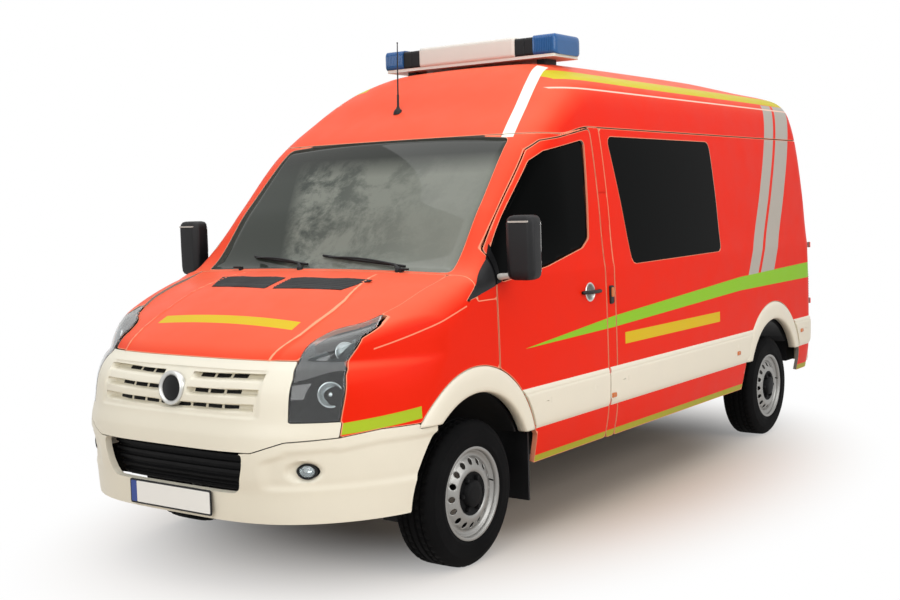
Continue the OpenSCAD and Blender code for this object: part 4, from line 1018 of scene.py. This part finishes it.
# Bonnet air slots: black inserts near the screen, each with level louvres 20 mm apart
VENT = outline([(0.022, -0.318), (0.430, -0.282), (0.505, -0.128), (0.022, -0.166)], 0.010)
vent = panel(arch, span(0.015, 0.52, 0.012), span(FA - 0.325, FA - 0.12, 0.0040),
             lambda p: VENT(np.abs(p[..., 0]), p[..., 1] - FA), lambda q,
             y: -0.0048 + 0.004 * np.abs(np.sin((y - FA) * math.pi / 0.020)))
piece("bonnet_air_slots", both(vent), BLACK, body="bonnet", thick=0.004)

# Rows across a wheel arch flare: place from the inner lip to the outer edge, and depth
LIP_ROWS = np.array([(0, 0.040), (0, 0.004), (0.02, -0.006), (0.09, -0.0115), (0.25, -0.0125), (0.6, -0.0125),
                     (0.84, -0.009), (0.96, -0.003), (1.0, 0.004)])


def arch_trim(at, low_front, low_rear):
    """Flare over a wheel at distance at behind the front axle, between the heights where it meets bumper, sill or belt:
    its rows are arcs whose centre and radius move from the tyre opening's to the flare's."""
    u, level = LIP_ROWS.T
    centre, r = 0.372 + 0.058 * u, 0.448 + 0.064 * u
    a0 = np.arcsin((low_rear - centre) / r)
    a1 = math.pi - np.arcsin((low_front - centre) / r)
    a = a0 + (a1 - a0) * np.linspace(0, 1, 90)[:, None]
    p = flank(at + r * np.cos(a), centre + r * np.sin(a), level)
    v, faces, rim = grid(p)
    n = np.cross(p[1:, :-1] - p[:-1, :-1], p[:-1, 1:] - p[:-1, :-1])
    return (v, faces, rim) if n[..., 0].sum() > 0 else (v, [f[:, ::-1] for f in faces], rim)


# The side moulding's lower and upper edges
BELT_LOW, BELT_HIGH = 0.571, 0.779
piece("wheel_arch_flares", joined(both(arch_trim(0.0, 0.724, 0.572)), both(arch_trim(AXLE, 0.572, 0.572))), CREAM,
      replaces=("wheel_arch_trims",), thick=0.004)


def belt_level(p, z):
    """Proud height of the side moulding: 12 mm, rolled off towards both edges, with a fine groove along it."""
    t = np.abs(z - 0.675) / 0.105
    return -0.0125 * (1 - t ** 6) + 0.003 * np.exp(-((z - 0.752) / 0.004) ** 2)


def belt_keep(p):
    """Side moulding from the post to the tail, outside the rear wheel's flare."""
    x, s, z = parts_of(p)
    return least(s - 1.2570, END - 0.09 - s, z - BELT_LOW, BELT_HIGH - z, flare(s, z, AXLE, 0.002))


def door_belt_keep(p):
    """Front door's moulding, outside the front wheel's flare."""
    x, s, z = parts_of(p)
    return least(DOOR(s, z) - 0.004, z - BELT_LOW, BELT_HIGH - z, flare(s, z, 0, 0.005))


belt_z = np.concatenate([span(0.560, 0.600, 0.006), span(0.615, 0.735, 0.02), span(0.742, 0.790, 0.0045)])
piece("side_moulding_strips", both(panel(wall, along(1.24, 4.52, 0.03), belt_z, belt_keep, belt_level)), CREAM,
      replaces=("side_mouldings",), thick=0.012, bevel=0.002)

door_strip = panel(wall, along(0.34, 1.27, 0.02), belt_z, door_belt_keep, belt_level)
handle = flank(1.074, 1.204)
cup = lathe([(0, -0.022), (0.050, -0.022), (0.051, 0.002), (0.047, 0.005), (0.041, 0.003), (0.030, -0.010),
             (0, -0.015)], handle,
            (1, 0, 0.03), 48)
grip = tube(handle + np.array([(0.004, -0.092, 0.002), (0.018, -0.070, 0.002), (0.024, -0.02, 0.001), (0.023, 0.05, 0),
                               (0.016, 0.085, 0), (0.002, 0.100, 0)]), 0.013, 14, 0.8)
for side, turned in SIDES:
    body = side + "_door"
    piece(side + "_door_moulding", turned(door_strip), CREAM, body=body, replaces=(side + "_door_trim",), thick=0.012,
          bevel=0.002)
    piece(side + "_door_handle_cup", turned(cup), SILVER, body=body, slot="wheel_steel")
    piece(side + "_door_handle_bar", turned(grip), BLACK, body=body, sub=1)


def stud(at, low, high, r, stations):
    """Small block on the flank at the point at, from low to high off it."""
    return block(at + np.array(low), at + np.array(high), r, 0, stations)


piece("side_markers", both(joined(*[block((flank(s, z)[0] + 0.004, FA + s - 0.024, z - 0.013),
                                          (flank(s, z)[0] + 0.019, FA + s + 0.024, z + 0.013), 0.006, 0,
                                          ((0, 1), (0.7, 1), (1, 0.86)))
                                    for s, z in ((1.290, 0.625), (3.013, 0.653), (4.186, 0.687))])), AMBER)
inlet = flank(1.302, 1.173)
piece("charging_inlet", stud(inlet, (-0.006, -0.020, -0.050), (0.012, 0.020, 0.050), 0.010,
                             ((0, 1), (0.7, 1), (1, 0.88))), BLACK)
piece("charging_inlet_flap", stud(inlet, (0.010, -0.015, -0.012), (0.017, 0.015, 0.040), 0.008,
                                  ((0, 1), (0.6, 1), (1, 0.85))), AMBER)

# Roof fittings: the light bar's middle, half depth, lower and upper edges
BAR_Y, BAR_HALF, BAR_LOW, BAR_HIGH = FA + 1.542, 0.150, 2.512, 2.628


def bar_section(x0, x1, inset, r, stations):
    """Length of the light bar from x0 to x1: rings of a rounded rectangle, each pulled in by its station's amount."""
    out = []
    for t, grow in stations:
        d = inset + grow
        front, back = BAR_Y - BAR_HALF + d, BAR_Y + BAR_HALF - d
        ring = rounded([(front, BAR_LOW + 0.001), (back, BAR_LOW + 0.001), (back, BAR_HIGH - d), (front, BAR_HIGH - d)],
                       r)
        out.append(np.column_stack([np.full(len(ring), x0 + t * (x1 - x0)), ring]))
    return loft(out)


piece("light_bar_housing", bar_section(-0.340, 0.340, 0.0, 0.022,
                                       ((0, 0.006), (0.008, 0.001), (0.03, 0), (0.97, 0), (0.992, 0.001),
                                                                   (1, 0.006))), BAR, replaces=("light_bar",))
gap = bar_section(0.338, 0.466, 0.010, 0.02, ((0, 0), (0.48, 0), (0.5, 0.004), (0.53, 0.004), (0.55, 0), (1, 0)))
foot = block((0.432, BAR_Y - 0.060, 2.425), (0.500, BAR_Y + 0.060, BAR_LOW - 0.012), 0.012, 2,
             ((0, 1.25), (0.25, 1.1), (0.5, 1), (1, 1)))
piece("light_bar_frame", joined(both(gap), both(foot)), BLACK, bevel=0.002)
piece("light_bar_rail", block((-0.600, BAR_Y - 0.138, BAR_LOW - 0.014), (0.600, BAR_Y + 0.138, BAR_LOW + 0.003), 0.02),
      BAR, bevel=0.002)
ribs = [(t, 0.0035 * (k % 2) + 0.03 * max(t - 0.94, 0) / 0.06) for k, t in enumerate(np.linspace(0.02, 0.94, 24))]
dome = bar_section(0.465, 0.610, 0.002, 0.028, [(0, 0)] + ribs + [(0.97, 0.010), (0.99, 0.02), (1, 0.034)])
piece("light_bar_blue_domes", both(dome), BLUE, replaces=("light_bar_domes",))

whip = lathe([(0, -0.010), (0.027, -0.010), (0.026, 0.004), (0.020, 0.016), (0.012, 0.024), (0.0075, 0.034),
              (0.0065, 0.040), (0.0065, 0.100), (0.0045, 0.104), (0.0035, 0.30), (0.0028, 0.388), (0.0042, 0.390),
              (0.0042, 0.395), (0, 0.397)],
             (-0.150, FA + 0.930, 2.209), (0, 0.03, 1), 24)
piece("roof_antenna", whip, BLACK, replaces=("antenna",))


def on_screen(x, s, lift):
    """Points over the windscreen at breadth x and distance s behind the front axle, lifted off it."""
    return arch(np.asarray(x, float), FA + np.asarray(s, float), -lift)


wiper_parts = []
for x0, reach in ((0.515, 0.575), (-0.125, 0.430)):
    t = np.linspace(0, 1, 14)
    post = np.array((x0, FA + 0.046, 1.366))
    arm = on_screen(x0 - 0.86 * reach * t, 0.062 + 0.045 * t, 0.020 + 0.012 * np.sin(math.pi * t))
    wiper_parts += [lathe([(0, 0), (0.017, 0), (0.016, 0.020), (0.011, 0.028), (0, 0.030)], post, (0, -0.2, 1), 28),
                    tube(np.concatenate([[post + (0, 0, 0.02)], arm[1:]]), np.linspace(0.009, 0.0055, 14), 10, 0.7),
                    tube(on_screen(x0 + 0.02 - reach * t, 0.082 + 0.050 * t, 0.007), 0.0065, 8)]
piece("wiper_arms", joined(*wiper_parts), BLACK, replaces=("wipers",))

# Mirrors on the front doors: rings of the shell by height, drawn in by d and leaning back
MIRROR_Y, MIRROR_IN, MIRROR_OUT = FA + 0.235, 1.036, 1.188
rings = []
for z, d, back in ((1.327, 0.030, 0), (1.334, 0.012, 0), (1.348, 0.003, 0), (1.375, 0, 0), (1.48, 0, -0.002),
                   (1.59, 0, -0.002), (1.612, 0.004, 0), (1.624, 0.014, 0.002), (1.629, 0.034, 0.004)):
    h = d / 2
    ring = rounded([(MIRROR_IN + d, MIRROR_Y - 0.034 + h), (1.066 + h, MIRROR_Y - 0.052 + h),
                    (1.166 - h, MIRROR_Y - 0.048 + h), (MIRROR_OUT - d, MIRROR_Y - 0.030 + h),
                    (MIRROR_OUT - d, MIRROR_Y + 0.046 - h), (MIRROR_IN + d, MIRROR_Y + 0.048 - h)], 0.024)
    rings.append(np.column_stack([ring[:, 0], ring[:, 1] + back, np.full(len(ring), z)]))
mirror_shell = loft(rings)
mirror_glass = joined(*[block((1.052, MIRROR_Y + 0.046, z0), (1.176, MIRROR_Y + 0.050, z1), r, 1)
                        for z0, z1, r in ((1.440, 1.606, 0.022), (1.352, 1.428, 0.018))])
mirror_arm = tube([(0.974, MIRROR_Y - 0.012, 1.340), (1.000, MIRROR_Y - 0.013, 1.343), (1.035, MIRROR_Y - 0.012, 1.346),
                   (1.066, MIRROR_Y - 0.008, 1.350)], np.array([0.022, 0.019, 0.018, 0.018]), 16, 0.8)
mirror_cap = block((1.060, MIRROR_Y - 0.0545, 1.595), (1.168, MIRROR_Y - 0.046, 1.603), 0.003, 1)
for side, turned in SIDES:
    body = side + "_door"
    piece(side + "_mirror_shell", turned(mirror_shell), BLACK, body=body, replaces=(side + "_mirror",))
    piece(side + "_mirror_glass", turned(mirror_glass), CHROME, body=body, bevel=0.001)
    piece(side + "_mirror_arm", turned(mirror_arm), SATIN, body=body, sub=1)
    piece(side + "_mirror_cap", turned(mirror_cap), SATIN, body=body, slot="white_trim")

# Wheels: tyre radius and the wheel's middle plane; rows of (radius, height along the axle)
TYRE_R, WHEEL_X = 0.345, 0.846
TREAD = np.linspace(-0.076, 0.076, 41)
WALL_ROWS = [(0.2062, 0.0900), (0.213, 0.0985), (0.222, 0.1062), (0.236, 0.1105), (0.240, 0.1122), (0.246, 0.1108),
             (0.265, 0.1122), (0.284, 0.1112), (0.297, 0.1085), (0.300, 0.1092), (0.304, 0.1068), (0.318, 0.1005),
             (0.330, 0.0925), (0.339, 0.0835)]
DISC_ROWS = np.array([(0.030, 0.0885), (0.064, 0.0885), (0.090, 0.0900), (0.100, 0.0985), (0.108, 0.1050),
                      (0.118, 0.1058), (0.130, 0.1035), (0.163, 0.0865), (0.172, 0.0770), (0.180, 0.0740),
                      (0.190, 0.0780), (0.201, 0.0900)])


def tyre(n=192, cuts=48):
    """Tyre cross-section turned about the axle: rounded walls with two raised rings, and a crown cut by four grooves
    round it and by cross cuts that shift between the ribs."""
    groove = np.min(np.abs(TREAD[:, None] - np.array([-0.052, -0.018, 0.018, 0.052])), 1) < 0.0049
    crown_rows = [(TYRE_R - 0.0015 * (h / 0.076) ** 4, h) for h in TREAD]
    r, h = np.array([(r, -h) for r, h in WALL_ROWS] + crown_rows + WALL_ROWS[::-1]).T
    t = np.linspace(0, 2 * math.pi, n, endpoint=False)
    blank = np.zeros(len(WALL_ROWS))
    crown = np.concatenate([blank, np.ones(len(TREAD)), blank])
    cut = np.concatenate([blank, groove, blank])
    shift = np.round(h / 0.036) * 0.5
    cross = (np.cos(cuts * t[None] + 2 * math.pi * shift[:, None] + 40 * np.abs(h)[:, None]) > 0.72) * crown[:, None]
    deep = np.maximum(0.008 * cut[:, None], 0.0055 * cross * (np.abs(h)[:, None] > 0.022))
    radius = r[:, None] - deep
    p = np.stack([h[:, None] + 0 * radius, radius * np.cos(t), radius * np.sin(t)], -1)
    return outside(grid(p, loop_u=True, loop_v=True))


def wheel_disc(holes=16, hole_at=0.151, hole_r=0.0155):
    """Pressed steel disc: radius against height from a table, with round holes cut at radius hole_at."""
    def turned_disc(t, r, level):
        """Point at turn t and radius r, its height read from the table."""
        h = np.interp(r, *DISC_ROWS.T) - level
        return np.stack([h, r * np.cos(t), r * np.sin(t)], -1)

    def keep(p):
        """Distance outside the nearest hole, found by folding the turn into one share of the circle."""
        r, t = np.hypot(p[..., 1], p[..., 2]), np.arctan2(p[..., 2], p[..., 1])
        a = (t + math.pi / holes) % (2 * math.pi / holes) - math.pi / holes
        return np.hypot(r * np.cos(a) - hole_at, r * np.sin(a) * 1.05) - hole_r

    v, faces, rim = panel(turned_disc, np.linspace(0, 2 * math.pi, 161), span(0.034, 0.2008, 0.0058), keep)
    n = np.cross(v[faces[0][:, 1]] - v[faces[0][:, 0]], v[faces[0][:, 3]] - v[faces[0][:, 0]])
    return v, faces if n[:, 0].sum() > 0 else [f[:, ::-1] for f in faces], rim


def placed(part, turned, y):
    """A wheel piece at its axle: moved out to the wheel's middle plane, and turned over for the right side."""
    v, faces, rim = part
    v, faces, rim = turned((v + np.array([WHEEL_X, 0, 0]), faces, rim))
    return v + np.array([0, y, TYRE_R]), faces, rim


HUB_AXIS = (0, 0, 0), (1, 0, 0)
RING, DISC = tyre(), wheel_disc()
BARREL = lathe([(0.2005, 0.088), (0.2040, 0.1040), (0.2085, 0.1068), (0.2160, 0.1072), (0.2190, 0.1060),
                (0.2192, 0.0985), (0.2125, 0.0975), (0.2062, 0.0905), (0.2062, -0.0905), (0.2192, -0.0985),
                (0.2190, -0.1025), (0.2050, -0.1025), (0.1970, -0.0860), (0.1970, 0.060)], *HUB_AXIS, 96, True)
CAP = lathe([(0, 0.086), (0.099, 0.094), (0.104, 0.0985), (0.102, 0.1005), (0.090, 0.0945), (0.066, 0.0935),
             (0.061, 0.112), (0.055, 0.119), (0.030, 0.1215), (0.0, 0.122)], *HUB_AXIS, 56)
NUTS = [lathe([(0, 0.090), (0.0125, 0.090), (0.0125, 0.106), (0.009, 0.1115), (0, 0.112)],
              (0, 0.079 * math.cos(a), 0.079 * math.sin(a)), (1, 0, 0), 6) for a in np.arange(6) * math.pi / 3]
VALVE = tube([(0.078, 0.178, 0.03), (0.094, 0.172, 0.03), (0.106, 0.166, 0.03)], 0.004, 8)
for end, y in (("front", FA), ("rear", RA)):
    for side, turned in SIDES:
        wheel = end + "_" + side
        body = wheel + "_wheel"
        piece(wheel + "_tyre_tread", placed(RING, turned, y), TYRE, body=body, replaces=(wheel + "_tyre",))
        piece(wheel + "_wheel_disc", placed(DISC, turned, y), WHEEL, body=body, replaces=(wheel + "_rim",), thick=0.005)
        piece(wheel + "_wheel_barrel", placed(BARREL, turned, y), WHEEL, body=body)
        piece(wheel + "_hub_cap", placed(joined(CAP, joined(*NUTS)), turned, y), HUB, body=body)
        piece(wheel + "_valve", placed(VALVE, turned, y), RUBBER, body=body)

# The rear: doors, glass, lamps, bumper and fittings
REAR_WINDOW = outline([(0.130, 1.340), (0.760, 1.340), (0.690, 1.990), (0.130, 1.990)], 0.04)
rear_p = span(P_REAR + 0.25, P_END - 0.001, 0.018)
HINGE_Z = (0.866, 1.290)


def leaf_keep(p):
    """Rear door: from the middle to the side's edge, outside its window."""
    x, s, z = parts_of(p)
    return least(p[..., 0] - 0.0045, SIDE(z) - DOOR_EDGE - 0.008 - x, z - 0.801, 2.071 - z, -REAR_WINDOW(x, z),
                 p[..., 1] - SKIN + 0.135)


def leaf_level(p, z):
    """Depth of a rear door's face: a pressed frame about the glass and a shallow field below it."""
    x = np.abs(wall(p, z)[..., 0])
    inside = least(x - 0.085, 0.80 - x, z - 0.88, 1.235 - z)
    return 0.007 * smooth(inside / 0.014) + 0.004 * smooth((REAR_WINDOW(x, z) + 0.034) / 0.012)


leaf = panel(wall, rear_p, span(0.79, 2.085, 0.018), leaf_keep, leaf_level)
rear_glass = panel(wall, rear_p, span(1.32, 2.01, 0.024),
                   lambda p: np.minimum(REAR_WINDOW(np.abs(p[..., 0]), p[..., 2]) - 0.002, p[..., 0]), 0.006)
straps = [block((0.842, SKIN - 0.052, z - 0.008), (0.920, SKIN + 0.019, z + 0.028), 0.012) for z in HINGE_Z]
knuckles = [lathe([(0, z - 0.010), (0.0105, z - 0.010), (0.0105, z + 0.030), (0, z + 0.032)], (0.931, SKIN + 0.012, 0),
                  (0, 0, 1), 24)
            for z in HINGE_Z]
for side, turned in SIDES:
    body = side + "_rear_door"
    piece(side + "_rear_door_skin", turned(leaf), PAINT, body=body, replaces=(side + "_rear_door",), thick=0.030,
          bevel=0.003)
    piece(side + "_rear_pane", turned(rear_glass), DARK_GLASS, body=body, replaces=(side + "_rear_glass",), thick=0.005)
    piece(side + "_rear_hinges", turned(joined(*straps, *knuckles)), PAINT, body=body, bevel=0.003)


def rear_y(x, z):
    """Place of the tail's skin at breadth x and height z."""
    return wall(np.array(P_END - x), np.array(z))[1]


grip_y = rear_y(0.09, 1.06)
pull = [(-0.128, grip_y + 0.004, 1.064), (-0.115, grip_y + 0.022, 1.064), (-0.065, grip_y + 0.022, 1.064),
        (-0.052, grip_y + 0.004, 1.064)]
piece("rear_door_handle", joined(block((-0.135, grip_y - 0.006, 1.020), (-0.045, grip_y + 0.008, 1.105), 0.014, 1,
                                       ((0, 1), (0.6, 1), (1, 0.88))), tube(pull, 0.010, 12)), BLACK,
      body="right_rear_door")
number_plate("rear", 0.400, rear_y(0.40, 0.98) - 0.004, 0.985, 1, "left_rear_door")


def lens_keep(low, high):
    """Keeps the rear corner between two heights, outside the door opening."""
    def keep(p):
        """Depth inside the lamp's outline, the side's edge and the two heights."""
        x, s, z = parts_of(p)
        return least(TAIL_LAMP(s, z) - 0.002, x - SIDE(z) + 0.072, z - low, high - z)
    return keep


lens_p = span(P_REAR - 0.02, P_REAR + 0.75, 0.010)
for name, low, high, look, nodes in (("tail_lamp_brake", 1.096, 1.2315, RED_LENS, ("tail_lamps",)),
                                     ("tail_lamp_turn", 1.002, 1.094, AMBER, ()),
                                     ("tail_lamp_reverse", 0.913, 1.000, FROSTED, ())):
    lens = panel(wall, lens_p, span(low - 0.01, high + 0.01, 0.0045), lens_keep(low, high),
                 lambda p, z: -0.002 - 0.0015 * np.sin(z * 2 * math.pi / 0.018))
    piece(name, both(lens), look, replaces=nodes, thick=0.030)

# Rear bumper: a section carried along its plan, which is rounded at both corners
BUMPER_END = (0.962, TAIL - 0.205)
half_plan = [BUMPER_END, (0.938, TAIL - 0.030), (0.70, TAIL)]
plan = rounded([(-x, y) for x, y in half_plan] + half_plan[::-1], 0.16, 14)[14:-14]
plan = np.concatenate([[(-BUMPER_END[0], BUMPER_END[1])], plan, [BUMPER_END]])
tangent = unit(np.gradient(plan, axis=0))
away = np.column_stack([-tangent[:, 1], tangent[:, 0]])
BUMPER_SECTION = np.array([(-0.070, 0.430), (-0.022, 0.421), (-0.006, 0.430), (-0.001, 0.450), (0, 0.560),
                           (-0.004, 0.572), (-0.014, 0.578), (-0.014, 0.610), (-0.004, 0.616), (0, 0.630), (0, 0.745),
                           (-0.006, 0.775), (-0.022, 0.789), (-0.070, 0.790)])
rings = np.concatenate([plan[:, None] + BUMPER_SECTION[None, :, :1] * away[:, None],
                        np.broadcast_to(BUMPER_SECTION[:, 1], (len(plan), len(BUMPER_SECTION)))[..., None]], -1)
piece("rear_bumper_bar", loft(rings), CREAM, replaces=("rear_bumper",))
piece("rear_step_ribs", joined(*[tube([(x, TAIL - 0.030 - k * 0.022, 0.791) for x in (-0.62, 0, 0.62)], 0.005, 8)
                                 for k in range(2)]), BLACK)

# Seats: foam pads under woven cloth on moulded stands; side profiles over the load floor
FLOOR_Z = 0.660
SEAT_BASE = rounded([(-0.250, 0.252), (-0.250, 0.330), (-0.225, 0.350), (0.125, 0.336), (0.215, 0.345), (0.235, 0.252)],
                    0.03)
SEAT_BACK = rounded([(0.150, 0.360), (0.274, 0.872), (0.300, 0.888), (0.362, 0.870), (0.368, 0.850), (0.262, 0.392),
                     (0.215, 0.360)], 0.03)
SEAT_HEAD = rounded([(0.295, 0.905), (0.326, 1.040), (0.345, 1.052), (0.388, 1.042), (0.396, 1.024), (0.362, 0.892)],
                    0.025)


def pad(profile, x0, x1, y, shrink):
    """Closed pad: a side profile carried from x0 to x1, scaled down about its middle by shrink and, towards both ends,
    by the sixth root of one less the sixth power of the distance from the middle, so that its sides pull in."""
    mid = (profile.max(0) + profile.min(0)) / 2
    t = np.sin(np.linspace(-1, 1, 34) * math.pi / 2) * 0.9995
    k = (1 - np.abs(t) ** 6) ** (1 / 6) * shrink
    ring = mid + (profile - mid)[None] * k[:, None, None]
    x = (x0 + x1) / 2 + t * (x1 - x0) / 2 * shrink
    return loft(np.concatenate([np.broadcast_to(x[:, None, None], ring.shape[:2] + (1,)),
                                ring + np.array([y, FLOOR_Z])], -1))


def read(data, key):
    """Vectors of a mesh's points as an array of rows."""
    out = np.zeros(len(data) * 3)
    data.foreach_get(key, out)
    return out.reshape(-1, 3)


def settled(obj):
    """The object's mesh as its modifiers leave it."""
    return bpy.data.meshes.new_from_object(obj.evaluated_get(bpy.context.evaluated_depsgraph_get()))


def stuffed(name, part, cap):
    """Pad filled by a pressure cloth simulation on its own even cells, with each point's movement held to cap, and then
    sewn: shallow channels pressed in along its width."""
    obj = piece(name, part, CLOTH)
    cells = obj.modifiers.new("cells", "REMESH")
    cells.mode, cells.voxel_size = "VOXEL", 0.014
    mesh = settled(obj)
    obj.modifiers.clear()
    obj.data = mesh
    start = read(mesh.vertices, "co")
    cloth = obj.modifiers.new("filling", "CLOTH")
    cloth.settings.use_pressure, cloth.settings.uniform_pressure_force = True, 4.0
    cloth.settings.effector_weights.gravity = 0
    cloth.settings.quality = 4
    for k in range(1, 21):
        bpy.context.scene.frame_set(k)
    move = read(settled(obj).vertices, "co") - start
    obj.modifiers.clear()
    bpy.context.scene.frame_set(1)
    size = np.linalg.norm(move, axis=1, keepdims=True)
    mesh.vertices.foreach_set("co", (start + move * np.minimum(1, cap / np.maximum(size, 1e-9))).reshape(-1))
    mesh.materials.clear()
    mesh.materials.append(CLOTH)
    mesh = obj.data
    co, no = read(mesh.vertices, "co"), read(mesh.vertex_normals, "vector")
    channel = np.exp(-(((co[:, 0] + 0.05) % 0.15 - 0.075) / 0.008) ** 2) * (np.abs(no[:, 0]) < 0.5)
    mesh.vertices.foreach_set("co", (co - 0.005 * channel[:, None] * no).reshape(-1))
    mesh.polygons.foreach_set("use_smooth", np.full(len(mesh.polygons), True))
    return obj


def seat_stand(x0, x1, y):
    """Moulded box under a seat, drawn in towards its top."""
    return block((x0 + 0.045, y - 0.185, 0.661), (x1 - 0.045, y + 0.220, 0.915), 0.03, 2,
                 ((0, 1), (0.05, 1), (0.5, 0.96), (1, 0.94)))


def head_rods(x, y):
    """Two rods from a seat back's top into its head rest."""
    rise = [(0.325, 0.830), (0.335, 0.895), (0.348, 0.960)]
    return joined(*[tube([(x + d, y + a, FLOOR_Z + h) for a, h in rise], 0.006, 10,
                         up=(1, 0, 0)) for d in (-0.06, 0.06)])


# Rows of seats: node, place along the van, and each seat's middle and width
for node, y, seats in (("cab_seats", FA + 0.960, ((0.440, 0.500), (-0.330, 0.900))),
                       ("crew_seats", FA + 2.050, ((-0.020, 1.450),))):
    stands, rods, pads = [], [], []
    for x, w in seats:
        count = round(w / 0.46)
        width = w / count
        stands.append(seat_stand(x - w / 2, x + w / 2, y))
        pads.append(pad(SEAT_HEAD, x - 0.125, x + 0.125, y, 0.95))
        rods.append(head_rods(x, y))
        for q in x + (np.arange(count) - (count - 1) / 2) * w / count:
            pads += [pad(profile, q - width / 2, q + width / 2, y, 0.955) for profile in (SEAT_BASE, SEAT_BACK)]
    cushions = stuffed(node + "_pads", joined(*pads), 0.022)
    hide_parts(node)
    piece(node + "_stands", joined(*stands), DASH, bevel=0.006)
    piece(node + "_head_rods", joined(*rods), STEEL)


# Camera, light and floor
def stood(name, data, axes, place):
    """Object whose three axes and place are given as vectors."""
    obj = bpy.data.objects.new(name, data)
    obj.matrix_world = Matrix(np.vstack([np.column_stack([*axes, place]), (0, 0, 0, 1)]).tolist())
    bpy.context.scene.collection.objects.link(obj)
    return obj


def camera(place, yaw, pitch, roll, focal, shift, width=900):
    """Camera from yaw, pitch and roll in degrees: the view line is turned yaw to the left of +Y and pitch below level.
    Focal length and shift are in pixels of a picture of that width."""
    yaw, pitch, roll = (math.radians(a) for a in (yaw, pitch, roll))
    d = np.array([-math.sin(yaw) * math.cos(pitch), math.cos(yaw) * math.cos(pitch), -math.sin(pitch)])
    r = np.array([math.cos(yaw), math.sin(yaw), 0.0])
    u = np.cross(r, d)
    data = bpy.data.cameras.new("camera")
    data.sensor_width, data.lens = 36.0, focal / width * 36
    data.shift_x, data.shift_y = shift[0] / width, shift[1] / width
    data.clip_end = 200
    axes = math.cos(roll) * r + math.sin(roll) * u, -math.sin(roll) * r + math.cos(roll) * u, -d
    bpy.context.scene.camera = stood("camera", data, axes, place)


def lamp(name, place, aim, size, power):
    """Soft rectangular lamp at place that looks at aim."""
    data = bpy.data.lights.new(name, "AREA")
    data.shape, data.size, data.size_y, data.energy = "RECTANGLE", size[0], size[1], power
    z = unit(np.array(place, float) - np.array(aim, float))
    x = unit(np.cross((0, 0, 1), z))
    stood(name, data, (x, np.cross(z, x), z), place)


camera((4.1799, -6.3788, 1.6983), 35.712, 4.533, -1.594, 1227.43, (-4.79, -0.775))
lamp("sky", (1.0, -1.5, 7.5), (0, 0, 0), (9, 11), 430)
lamp("flank", (8.5, -1.0, 4.2), (0, 0.3, 1.0), (7, 4), 285)
lamp("nose", (1.5, -9.0, 4.0), (0, -1.5, 0.9), (6, 3.5), 170)


def seen_rays(tree):
    """One for rays that come from the camera, a glossy surface or glass, and nought for light bounced by dull
    surfaces."""
    path = add(tree, "LightPath").outputs
    first = calc(tree, "MAXIMUM", path["Is Camera Ray"], path["Is Glossy Ray"])
    return calc(tree, "MAXIMUM", first, path["Is Transmission Ray"])


world = bpy.data.worlds.new("studio")
bpy.context.scene.world = world
world.use_nodes = True
tree = world.node_tree
dull = tree.nodes["Background"]
dull.inputs["Color"].default_value = (1, 1, 1, 1)
dull.inputs["Strength"].default_value = 0.42
white = add(tree, "Background", Color=(1, 1, 1, 1), Strength=1.0)
pick = add(tree, "MixShader", [(0, seen_rays(tree)), (1, dull.outputs[0]), (2, white.outputs[0])])
tree.links.new(pick.outputs[0], tree.nodes["World Output"].inputs["Surface"])


def studio_floor():
    """Matt brownish-grey floor, its colour a painted shadow near the van over the shadow the lamps cast there, that
    fades to plain white away from it, by distance on an oval."""
    # Brownish grey: a painted shadow tone on the floor about the van
    mat = finish_of("pale_studio_floor", "#cfc1b2", rough=0.9, vary=0.004)
    tree, shader, _ = opened(mat)
    oval = add(tree, "Mapping", [("Vector", add(tree, "TexCoord").outputs["Object"])])
    oval.inputs["Scale"].default_value = (1.0, 0.62, 1.0)
    far = add(tree, "VectorMath", [(0, oval.outputs[0])], operation="LENGTH").outputs["Value"]
    fade = ramp(tree, far, 0.9, 2.15)
    fade.node.interpolation_type = "SMOOTHSTEP"
    white = add(tree, "Emission", Color=(1, 1, 1, 1), Strength=1.0)
    mask = times(tree, fade, seen_rays(tree))
    pick = add(tree, "MixShader", [(0, mask), (1, shader.outputs[0]), (2, white.outputs[0])])
    tree.links.new(pick.outputs[0], tree.nodes["Material Output"].inputs["Surface"])
    return mat


fx, fy = np.meshgrid(np.linspace(-60, 60, 40), np.linspace(-40, 80, 40), indexing="ij")
floor_v, floor_f, _ = grid(np.stack([fx, fy, 0 * fx], -1))
floor_mesh = bpy.data.meshes.new("floor")
floor_mesh.from_pydata(floor_v.tolist(), [], floor_f[0].tolist())
floor = bpy.data.objects.new("floor", floor_mesh)
floor_mesh.materials.append(studio_floor())
bpy.context.scene.collection.objects.link(floor)

bpy.context.scene.view_settings.view_transform = "Standard"
